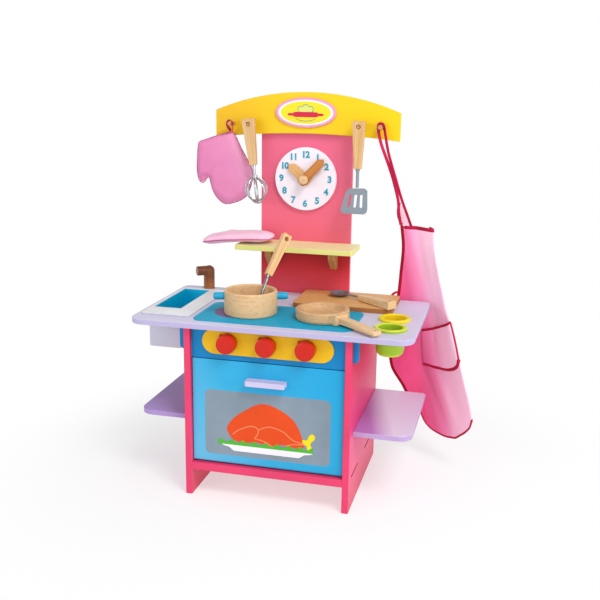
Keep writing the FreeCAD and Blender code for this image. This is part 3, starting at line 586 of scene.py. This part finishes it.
def inset(point, u, v, du, dv, depth):
    """Point a little inside the cloth's edge, and the direction inwards."""
    p = point(u, v)
    inward = (point(u + du, v + dv) - p).normalized()
    return p + inward * depth, inward


def edging(name, path, tape, wide):
    """Bound edge: a flattened roll along the cloth; path gives points and inward directions."""
    last = len(path) - 1
    lifts = []
    for k, (p, inward) in enumerate(path):
        way = path[min(k + 1, last)][0] - path[max(k - 1, 0)][0]
        lifts.append(way.cross(inward).normalized())
    points = [at(*p) for p, inward in path]
    return tube(name, points, wide / 1000, tape, "apron_cloth", 0.38, 12, lift=lifts)


def bindings(steps, edges):
    """Edgings from (name, line along the edge, tape, half width)."""
    return [edging(name, [line(k / steps) for k in range(steps + 1)], tape, wide)
            for name, line, tape, wide in edges]


def apron():
    cloth = cloth_grid("apron", 97, 121, apron_uv)
    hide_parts("apron_back", "apron_side", "apron_fold")
    trim = bindings(80, (("top_binding", lambda t: inset(apron_uv, t, 0.0, 0, 0.01, 2.2), TAPE, 4.6),
                         ("left_binding", lambda t: inset(apron_uv, 0.0, t, 0.01, 0, 1.8), TAPE_PAINTED_SHADE, 4.0),
                         ("hem_binding", lambda t: inset(apron_uv, t, 1.0, 0, -0.01, 1.2), TAPE, 2.8),
                         ("fold_binding", lambda t: inset(apron_uv, 1.0, t, -0.01, 0, 1.2), TAPE, 2.8)))
    # the pocket is bound all round but for its left side
    trim.append(cloth_grid("apron_pocket", 31, 31, pocket_point))
    trim += bindings(30, (("pocket_top", lambda t: inset(pocket_point, t, 0.0, 0, 0.03, 1.5), TAPE, 3.4),
                          ("pocket_side", lambda t: inset(pocket_point, 1.0, t, -0.03, 0, 1.0), TAPE, 2.6),
                          ("pocket_low", lambda t: inset(pocket_point, t, 1.0, 0, -0.03, 1.0), TAPE, 4.4)))
    # the bib's turned corner, a pale flap that stands up behind the neck tape
    y = 350.6
    flap = [(230, 641), (227, 628), (228, 615), (232, 603), (237, 593), (248, 586), (258, 585),
            (256, 597), (251, 610), (244, 624), (236, 636)]
    trim.append(plate("apron_flap", closed_curve(flap, 4), y, 0.9, FLAP, "apron_cloth"))
    rim = [Vector((x, y, z)) for x, z in ((229, 646), (226, 630), (227, 615), (231, 603), (237, 593))]
    inward = Vector((1, 0, 0))
    trim += bindings(24, (("flap_binding", lambda t: (spline(rim, t), inward), TAPE, 3.2),))
    # the end of the waist tape over the back edge of the counter
    tie = [(234, 347, 427), (229, 343.5, 427.5), (224, 343, 424), (220, 345, 418.5)]
    knot = ribbon("apron_waist_tape", tie, 0.0030, 0.0008, "apron_cloth")
    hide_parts("apron_tie")
    trim.append(knot)


apron()

# ---- mitts ----------------------------------------------------------------------------------------


def evaluated_mesh(obj):
    bpy.context.view_layer.update()
    graph = bpy.context.evaluated_depsgraph_get()
    return bpy.data.meshes.new_from_object(obj.evaluated_get(graph))


SWELL_FRAMES = 20


def swell(obj, voxel, cap, thickness):
    """Even remesh, then a short cloth run with air pressure; no point moves further than cap.

    The sewn edge keeps its outline, so a point moves only through the thickness.
    """
    mod = obj.modifiers.new("even", "REMESH")
    mod.mode = "VOXEL"
    mod.voxel_size = voxel
    mesh = evaluated_mesh(obj)
    obj.modifiers.clear()
    obj.data = mesh
    rest = [v.co.copy() for v in mesh.vertices]
    cloth = obj.modifiers.new("air", "CLOTH")
    cloth.settings.quality = 4
    cloth.settings.mass = 0.2
    cloth.settings.tension_stiffness = 12
    cloth.settings.compression_stiffness = 12
    cloth.settings.use_pressure = True
    cloth.settings.uniform_pressure_force = 5.0
    cloth.settings.effector_weights.gravity = 0
    cloth.collision_settings.use_collision = False
    scene = bpy.context.scene
    for frame_number in range(1, SWELL_FRAMES + 1):
        scene.frame_set(frame_number)
    swollen = evaluated_mesh(obj)
    for v, start in zip(swollen.vertices, rest):
        move = thickness * (v.co - start).dot(thickness)
        v.co = start + move * min(1.0, cap / max(move.length, 1e-9))
    obj.modifiers.clear()
    obj.data = swollen
    scene.frame_set(1)
    return swollen


def finish_soft(obj, material, body, node):
    """Name, material, smoothing and frame calls of a mitt; its piece has the name of its body."""
    obj.name = body
    obj.data.name = body
    obj.data.materials.clear()
    obj.data.materials.append(material)
    obj.data.shade_smooth()
    sub = obj.modifiers.new("smooth", "SUBSURF")
    sub.levels = 1
    sub.render_levels = 1
    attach(obj, body)
    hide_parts(node)


# outlines of the mitts: (x, z) of the hanging one, (x, y) of the lying one
HANGING = [(-190, 801), (-181, 803), (-173, 794), (-160, 766), (-145, 739), (-134, 715), (-132, 700),
           (-134, 684), (-140, 664), (-149, 648), (-168, 635), (-198, 626), (-213, 629), (-228, 643),
           (-238, 662), (-243, 684), (-247, 692), (-252, 687), (-258, 679), (-266, 677), (-273, 686),
           (-276, 708), (-274, 740), (-271, 766), (-267, 777), (-251, 783), (-222, 793)]
HANGING_TOP = 803.0
HANGING_MIDDLE = 320.5      # y of its middle at the top
HANGING_TILT = math.radians(4.5)
HANGING_BACK = 0.55         # the back lies flatter, so that it swings clear of the arch board
# middle, half width, half height and depth of the soft dents in palm, cuff and thumb
HANGING_DENTS = ((-214, 722, 14, 9, 1.6), (-190, 786, 9, 16, 1.3), (-232, 697, 7, 9, -1.6))


def hanging_mitt():
    def middle_at(z):
        return HANGING_MIDDLE + (HANGING_TOP - z) * math.sin(HANGING_TILT)

    def hang(x, z, y):
        forward = HANGING_MIDDLE + y * math.cos(HANGING_TILT) + (HANGING_TOP - z) * math.sin(HANGING_TILT)
        return x, forward, z + y * math.sin(HANGING_TILT) * 0.2

    obj = add_object("rough", slab("rough", closed_curve(HANGING, 4), hang, -3.6, 3.6))
    mesh = swell(obj, 0.0042, 0.0058, Vector((0, 1, 0)))
    for v in mesh.vertices:
        p = drawn(v.co)
        # stitched dimple that runs up from the crotch of the thumb
        crotch = Vector((p.x + 247, p.z - 693))
        along, across = crotch.dot(Vector((0.64, 0.77))), crotch.dot(Vector((0.77, -0.64)))
        dent = 5.0 * math.exp(-(across / 5.0) ** 2) * math.exp(-((along - 14) / 17.0) ** 2)
        for x, z, wide, tall, depth in HANGING_DENTS:
            dent += depth * math.exp(-(((p.x - x) / wide) ** 2 + ((p.z - z) / tall) ** 2))
        dent += 1.1 * noise.noise(Vector((p.x, p.z, 0)) / 26.0)
        bulge = p.y - middle_at(p.z)
        bulge = bulge + dent if bulge < 0 else bulge * HANGING_BACK - dent
        v.co.y = at(0, middle_at(p.z) + bulge, 0).y
    finish_soft(obj, MITT, "hanging_mitt", "mitt_hanging")
    seam = [at(*hang(x, z, 0)) for x, z in closed_curve(HANGING, 3)]
    tube("mitt_seam", seam, 0.0011, MITT_SEAM, "hanging_mitt", 1.0, 8, True)


LYING = [(-236, 262), (-231, 247), (-214, 242), (-180, 243), (-150, 243), (-118, 246), (-92, 254),
         (-72, 270), (-66, 290), (-72, 310), (-92, 324), (-130, 332), (-158, 333), (-176, 340),
         (-198, 340), (-205, 330), (-202, 318), (-222, 312), (-234, 296)]
ON_SHELF = 541.7            # just above the top of the shelf
DROOP_FROM = -146.0         # x where the mitt begins to sink past the end of the shelf
FREE_FROM = -152.0          # x where it may begin to hang lower than the shelf


def drooped(x, y, z):
    """The end past the shelf sinks; the rest stays flat on the shelf; the back rises a little."""
    past = max(0.0, DROOP_FROM - x)
    z += 3.0 * (1 - math.exp(-max(0.0, x + 150) / 30.0))
    z -= 0.0011 * past ** 2 + 0.02 * past
    z += 1.6 * math.exp(-((y - 262) / 9.0) ** 2) * math.sin((x + 40) / 21.0)
    if z > 552:
        z -= 2.2 * math.exp(-((y - 268 - (x + 150) * 0.06) / 5.0) ** 2)
    return max(z, ON_SHELF - 0.16 * max(0.0, FREE_FROM - x))


def lying_mitt():
    flat = slab("rough", closed_curve(LYING, 4), lambda x, y, z: (x, y, z), 549.0, 560.0)
    obj = add_object("rough", flat)
    mesh = swell(obj, 0.0045, 0.0050, Vector((0, 0, 1)))
    for v in mesh.vertices:
        v.co.z = drooped(*drawn(v.co)) / 1000
    finish_soft(obj, MITT_PALE, "lying_mitt", "mitt_shelf")
    seam = [at(x, y, drooped(x, y, 552.0)) for x, y in closed_curve(LYING, 3)]
    tube("lying_mitt_seam", seam, 0.0012, MITT_SEAM, "lying_mitt", 1.0, 8, True)


hanging_mitt()
lying_mitt()

# ---- prints ---------------------------------------------------------------------------------------


def line_print(name, points, y, radius, material, body):
    curve = [spline([Vector((x, y, z)) for x, z in points], k / 24) for k in range(25)]
    tube(name, [at(*p) for p in curve], radius / 1000, material, body, 0.22, 8)


def print_ink(name, rgb):
    return paint(name, rgb, 0.5, 0.0)


PRINT_BACK = 9.98           # y of the back of the door's print; its layers come forward in small steps


def door_print():
    """Roast on a plate, a plain design printed on the oven window."""
    roast = closed_curve([(-92, 168), (-78, 191), (-50, 213), (-20, 230), (6, 231), (36, 219), (60, 202),
                          (74, 180), (83, 156), (85, 141), (66, 137), (38, 141), (8, 136), (-24, 140),
                          (-52, 136), (-75, 140), (-87, 153)])
    bone = closed_curve([(82, 158), (92, 159), (96, 168), (103, 174), (110, 169), (108, 161), (101, 154),
                         (100, 148), (103, 141), (99, 135), (93, 136), (91, 145), (84, 149)], 5)
    wave = [(-114 + 4.4 * k, 136.5 + 3.4 * math.sin(k * 1.05) + (1.5 if k % 3 else 0)) for k in range(51)]
    leaf = [(-112, 127.5), *wave, (106, 127.5)]
    dish = [(-105, 128.5), (106, 128.5), (101, 125.5), (86, 123), (74, 114.5), (-76, 114.5), (-88, 123),
            (-100, 125.5)]
    for name, outline, y, ink in (("roast", roast, 9.6, print_ink("print_orange", (234, 78, 22))),
                                  ("bone", bone, 9.5, print_ink("print_yellow", (252, 226, 20))),
                                  ("leaf", leaf, 9.45, print_ink("print_green", (84, 184, 56))),
                                  ("dish", dish, 9.35, print_ink("print_white", (250, 244, 252)))):
        plate("print_" + name, outline, y, PRINT_BACK - y, ink, "door")
    salmon = print_ink("print_salmon", (250, 140, 92))
    for k, line in enumerate((((-80, 153), (-64, 166), (-38, 177), (-22, 174), (-20, 162), (-28, 149)),
                              ((-21, 170), (6, 180), (36, 173), (60, 155), (84, 149)),
                              ((-28, 149), (-4, 144), (14, 134)), ((42, 139), (60, 145), (84, 147)))):
        line_print(f"print_line_{k}", line, 9.5, 1.3, salmon, "door")


def ellipse(a, b, z, count=72):
    turns = [math.tau * k / count for k in range(count)]
    return [(a * math.cos(t), z + b * math.sin(t)) for t in turns]


BADGE_Y, BADGE_Z = 325.6, 852.5


def badge_print():
    """Oval badge: pink rim, white ring, yellow field, a rolling pin under a cook's hat."""
    white, yellow, red, teal, lime = (paint("badge_" + name, rgb, 0.45, 0.1) for name, rgb in (
        ("white", (252, 244, 250)), ("yellow", (250, 226, 40)), ("red", (214, 36, 70)),
        ("teal", (86, 160, 140)), ("lime", (226, 230, 120))))
    z = BADGE_Z
    hat = [(-17, z + 2), (-19, z + 9), (-15, z + 14), (-8, z + 14), (-4, z + 18), (4, z + 18), (8, z + 14),
           (15, z + 14), (19, z + 9), (17, z + 2)]
    pin = [(-28, z - 10), (-29, z - 5), (-27, z + 1), (0, z + 1.6), (27, z + 1), (29, z - 5), (28, z - 10),
           (0, z - 10.6)]

    def layer(name, outline, rise, ink, thick=0.3):
        plate("badge_" + name, outline, BADGE_Y - rise, thick, ink, "cabinet")

    def line(name, points):
        line_print("badge_" + name, points, BADGE_Y - 0.6, 0.8, teal, "cabinet")

    layer("ring", ellipse(67, 29.6, z), 0.35, white, 0.4)
    layer("field", ellipse(61.2, 26.0, z), 0.5, yellow, 0.4)
    layer("hat", closed_curve(hat, 4), 0.6, lime)
    line("hat_line", hat)
    line("curve", [(-24, z - 14), (-10, z - 19), (10, z - 19), (24, z - 14)])
    layer("pin", closed_curve(pin, 5), 0.75, red)
    for side, name in ((-1, "grip_l"), (1, "grip_r")):
        grip = [(29 * side, z - 7), (29 * side, z - 2), (36 * side, z - 1.5), (42 * side, z - 2),
                (44 * side, z - 4.5), (42 * side, z - 7), (36 * side, z - 7.5)]
        layer(name, closed_curve(grip, 4), 0.7, red)


CLOCK_Z = 695
FIGURE_SIZE = 0.0215
FIGURE_THICK = 0.00012


def figure(hour, widen, y):
    """Mesh of one hour figure in its place on the clock, widened all round."""
    data = bpy.data.curves.new("figure", "FONT")
    data.body = str(hour)
    data.size = FIGURE_SIZE
    data.bevel_depth = widen
    data.bevel_resolution = 1
    data.space_character = 0.92
    data.align_x = "CENTER"
    data.align_y = "CENTER"
    text = add_object("figure", data)
    mesh = evaluated_mesh(text)
    angle = math.radians(30 * hour)
    reach = 58.0 if hour == 12 else 60.0
    spot = at(reach * math.sin(angle), y, CLOCK_Z + reach * math.cos(angle))
    flatten = Matrix.Diagonal((1, 1, FIGURE_THICK / widen, 1))
    mesh.transform(Matrix.Translation(spot) @ Matrix.Rotation(math.pi / 2, 4, "X") @ flatten)
    bpy.data.objects.remove(text)
    bpy.data.curves.remove(data)
    return mesh


def numerals():
    """Hour figures with a pale edge, printed on the clock."""
    teal = print_ink("print_teal", (36, 156, 186))
    pale = print_ink("print_pale", (206, 236, 248))
    for style, ink, widen, y in (("edge", pale, 0.0017, 333.35), ("ink", teal, 0.0007, 333.2)):
        joined = bmesh.new()
        for hour in range(1, 13):
            mesh = figure(hour, widen, y)
            joined.from_mesh(mesh)
            bpy.data.meshes.remove(mesh)
        name = "clock_figures_" + style
        new_piece(name, mesh_from(joined, name), ink, "cabinet")


CABINET_HALF = 189.0
TENON_Z = 75.5


def tenon_marks():
    """Hairline ends of the bottom board's tenons in both side panels."""
    gap = paint("tenon_shadow", (120, 16, 44), 0.7, 0.0)
    for side, name in ((-1, "left"), (1, "right")):
        for k, (y0, y1) in enumerate(((30, 104), (196, 268))):
            line = [at(CABINET_HALF * side, y0 + (y1 - y0) * i / 8, TENON_Z) for i in range(9)]
            tube(f"tenon_{name}_{k}", line, 0.0011, gap, "cabinet", 1.0, 8)


tenon_marks()
door_print()
badge_print()
numerals()

# ---- looks of the CAD parts -------------------------------------------------------------------


def dress_cabinet():
    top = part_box("side_panel_right")[1][2]
    # painted shade on the faces that look to the right: darker red towards the top, under the counter, and a
    # little darker just above the floor
    stops = ((0.0, (222, 56, 92)), (0.08, (240, 88, 132)), (0.4 * top, (238, 72, 136)),
             (0.7 * top, (228, 48, 104)), (top, (216, 40, 48)))
    pink = paint("paint_raspberry", (236, 66, 112), face=RIGHT, gradient=(UP, stops))
    dress(pink, "side_panel_left", "side_panel_right", "bottom_board", "back_board")
    dress(paint("paint_deep_blue", (0, 132, 198)), "control_board")
    dress(paint("paint_amber", (242, 190, 12), 0.4), "control_plate")
    dress(paint("paint_red", (208, 32, 14), 0.3, 0.15), "knob_left", "knob_middle", "knob_right")
    # painted light and shade on the door's front: paler blue at the lower left corner, deeper blue towards
    # the upper right
    low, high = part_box("door_panel")
    rise = 0.6              # the tone climbs from the lower left corner to the upper right one
    stops = ((low[0] + rise * low[2], (112, 196, 236)),
             (0.45 * low[0] + 0.55 * high[0] + rise * low[2], (52, 178, 228)),
             (high[0] + rise * high[2], (26, 168, 224)))
    sky = paint("paint_sky_blue", (28, 170, 224), face=FRONT, gradient=((1.0, 0.0, rise), stops))
    dress(sky, "door_panel")
    dress(paint("print_grey", (136, 152, 166), 0.5, 0.0, 0.05), "door_window")
    dress(paint("paint_lilac", (212, 204, 238), 0.4), "door_handle")
    dress(metal("zinc", (170, 172, 175), 0.4), "hinge_pins", "screws")
    dress(plastic("catch_white", (225, 225, 225), 0.45), "door_catch")
    # the two side shelves share one lilac paint: the left one is a darker copy in painted shade, the right
    # one a paler copy in painted light
    dress(paint("shelf_lilac_painted_shade", (170, 146, 212), edge=(182, 152, 214)), "side_shelf_left")
    # painted shade and light on the right shelf's top: purple shade next to the cabinet, a pale painted
    # highlight across the middle
    stops = ((0.14, (188, 128, 206)), (0.19, (236, 230, 254)), (0.28, (228, 218, 248)))
    lit_shelf_paint = paint("shelf_lilac_painted_light", (232, 206, 238), 0.36, 0.1, edge=(196, 168, 216),
                   gradient=((1.0, 0.25, 0.0), stops))
    dress(lit_shelf_paint, "side_shelf_right")


def dress_counter():
    # painted shade: the counter's upright edges are a darker lavender than its top
    dress(paint("paint_lavender", (222, 218, 244), edge=(192, 184, 222)), "counter")
    # painted shade: the sink tray's upright sides are a greyer white than its top
    dress(plastic("sink_white", (240, 243, 246), 0.35, edge=(212, 214, 230)), "sink_tray")
    dress(plastic("sink_blue", (0, 186, 228), 0.4), "sink_liner")
    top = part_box("tap")[1][2]
    stops = ((top - 0.05, (176, 108, 54)), (top - 0.028, (96, 48, 26)), (top, (104, 56, 34)))
    dress(wood("wood_walnut", (176, 106, 54), (104, 54, 24), UP, 0.34, 1.0, 0.3, gradient=(UP, stops)), "tap")
    dress(paint("print_hob_blue", (10, 170, 210), 0.45, 0.0, shine=0.12), "hob_plate")
    dress(paint("print_plum", (120, 82, 140), 0.45, 0.0), "burners")
    dress(plastic("cup_yellow", (255, 236, 40), 0.28, 0.03, 0.15, edge=(250, 214, 30)), "cup_yellow")
    dress(plastic("cup_green", (228, 240, 50), 0.28, 0.03, 0.15, edge=(170, 202, 44)), "cup_green")


def dress_back():
    # redder in the shadow under the upper shelf
    stops = ((0.425, (234, 80, 98)), (0.47, (220, 54, 66)), (0.522, (200, 30, 36)), (0.54, (238, 104, 126)),
             (0.85, (236, 106, 144)))
    dress(paint("paint_coral", (245, 110, 140), face=FRONT, gradient=(UP, stops)), "tall_panel")
    stops = ((-0.285, (238, 186, 18)), (-0.1, (250, 206, 24)), (0.167, (252, 212, 6)))
    dress(paint("paint_yellow", (250, 210, 12), face=FRONT, gradient=(RIGHT, stops)), "arch_board")
    dress(paint("badge_pink", (238, 160, 196), 0.4), "badge")
    dress(paint("paint_white", (252, 240, 250), 0.45), "clock_face")
    dress(paint("paint_pear", (252, 240, 182), 0.45, edge=(232, 230, 138)), "upper_shelf")
    dress(wood("wood_bracket", (206, 158, 96), (176, 124, 70), UP), "bracket_left", "bracket_right")


# node or nodes, name of the wood, light and dark tone, direction of the grain, roughness
WOODEN = (
    (("pot_body",), "turned", (238, 200, 152), (224, 178, 128), (1, 0, 0), 0.42),
    (("pan_body",), "pan", (226, 184, 136), (206, 158, 110), (0.8, -0.6, 0), 0.42),
    (("pan_handle",), "pan_handle", (244, 208, 160), (226, 180, 130), (0.79, -0.61, 0), 0.45),
    (("ladle_handle",), "ladle", (238, 198, 142), (214, 164, 106), (0.23, 0.61, 0.76), 0.45),
    (("spoon_handle",), "spoon", (242, 206, 156), (222, 178, 124), (0.9, -0.44, 0), 0.45),
    (("whisk_handle",), "whisk", (228, 190, 138), (204, 158, 106), (0.12, 0, -1), 0.45),
    (("turner_handle",), "turner", (230, 190, 134), (206, 158, 100), (0, 0, 1), 0.45),
    (("peg_mitt", "peg_whisk", "peg_turner", "peg_apron"), "pegs", (214, 158, 112), (180, 118, 76),
     (0, 1, 0), 0.45),
    (("clock_axle",), "cap", (236, 202, 156), (210, 160, 108), (0, 1, 0), 0.4),
    (("hour_hand",), "hour_hand", (232, 180, 120), (206, 148, 90), (-0.77, 0, 0.64), 0.45),
    (("minute_hand",), "minute_hand", (208, 136, 68), (176, 104, 42), (0.7, 0, 0.72), 0.45))


def dress_kitchenware():
    for nodes, name, light, dark, grain, rough in WOODEN:
        dress(wood("wood_" + name, light, dark, grain, rough), *nodes)
    board = wood("wood_board", (240, 184, 120), (220, 160, 98), RIGHT, 0.5, 0.6, edge=(176, 112, 60))
    dress(board, "cutting_board")
    dress(paint("grip_blue", (40, 168, 212), 0.35, 0.3), "pot_handles")
    dress(metal("steel_wire", (196, 198, 202), 0.22), "whisk_steel")
    dress(metal("steel_stem", (150, 152, 158), 0.25), "ladle_steel")
    dress(metal("steel_bowl", (140, 144, 158), 0.38, metallic=0.55), "spoon_steel")
    dress(metal("lacquer_grey", (142, 152, 162), 0.4, metallic=0.3), "turner_steel")


dress_cabinet()
dress_counter()
dress_back()
dress_kitchenware()

# ---- floor, backdrop and light ------------------------------------------------------------------


def stage():
    """Pale floor under the toy that turns into the plain white of the studio further out."""
    bm = bmesh.new()
    bmesh.ops.create_circle(bm, cap_ends=True, segments=96, radius=6.0)
    n = Nodes("floor_white")
    white = (0.96, 0.96, 0.96, 1)
    for key, value in (("Base Color", white), ("Roughness", 0.9), ("Specular IOR Level", 0.1)):
        n.bsdf.inputs[key].default_value = value
    tex = n.add("ShaderNodeTexCoord")
    reach = n.add("ShaderNodeVectorMath", operation="LENGTH")
    n.link(tex.outputs["Object"], reach.inputs[0])
    glow = n.add("ShaderNodeEmission", Color=(1, 1, 1, 1))
    mix = n.add("ShaderNodeMixShader")
    n.link(n.rescaled(reach.outputs["Value"], (0.35, 0.9), (0.55, 1.0), "SMOOTHSTEP"), mix.inputs["Fac"])
    n.link(n.bsdf.outputs["BSDF"], mix.inputs[1])
    n.link(glow.outputs["Emission"], mix.inputs[2])
    n.link(mix.outputs["Shader"], n.tree.nodes["Material Output"].inputs["Surface"])
    mesh = mesh_from(bm, "floor")
    mesh.materials.append(n.mat)
    add_object("floor", mesh)


def area(name, place, target, size, power):
    """Round soft lamp; place and target in metres."""
    data = bpy.data.lights.new(name, "AREA")
    data.shape = "DISK"
    data.size = size
    data.energy = power
    lamp = add_object(name, data)
    lamp.location = place
    lamp.rotation_mode = "QUATERNION"
    lamp.rotation_quaternion = (Vector(target) - Vector(place)).to_track_quat("-Z", "Y")


def lights():
    """Even white studio: bright walls, a dimmer ceiling, a large soft lamp at the upper right, two fills."""
    world = bpy.data.worlds.new("world")
    bpy.context.scene.world = world
    world.use_nodes = True
    tree = world.node_tree
    back = tree.nodes["Background"]
    back.inputs["Color"].default_value = (1, 1, 1, 1)
    coords = tree.nodes.new("ShaderNodeTexCoord")
    split = tree.nodes.new("ShaderNodeSeparateXYZ")
    tree.links.new(coords.outputs["Generated"], split.inputs["Vector"])
    fade = tree.nodes.new("ShaderNodeMapRange")
    for name, number in (("From Min", 0.22), ("From Max", 0.5), ("To Min", 1.0), ("To Max", 0.42)):
        fade.inputs[name].default_value = number
    tree.links.new(split.outputs["Z"], fade.inputs["Value"])
    tree.links.new(fade.outputs["Result"], back.inputs["Strength"])
    area("key", (1.7, -1.9, 3.3), (0, 0, 0.5), 1.5, 84)
    area("fill_right", (2.4, -0.9, 0.9), (0, 0, 0.45), 1.6, 17)
    area("fill_left", (-1.7, -2.3, 1.3), (0.1, 0, 0.4), 1.6, 13)


stage()
lights()
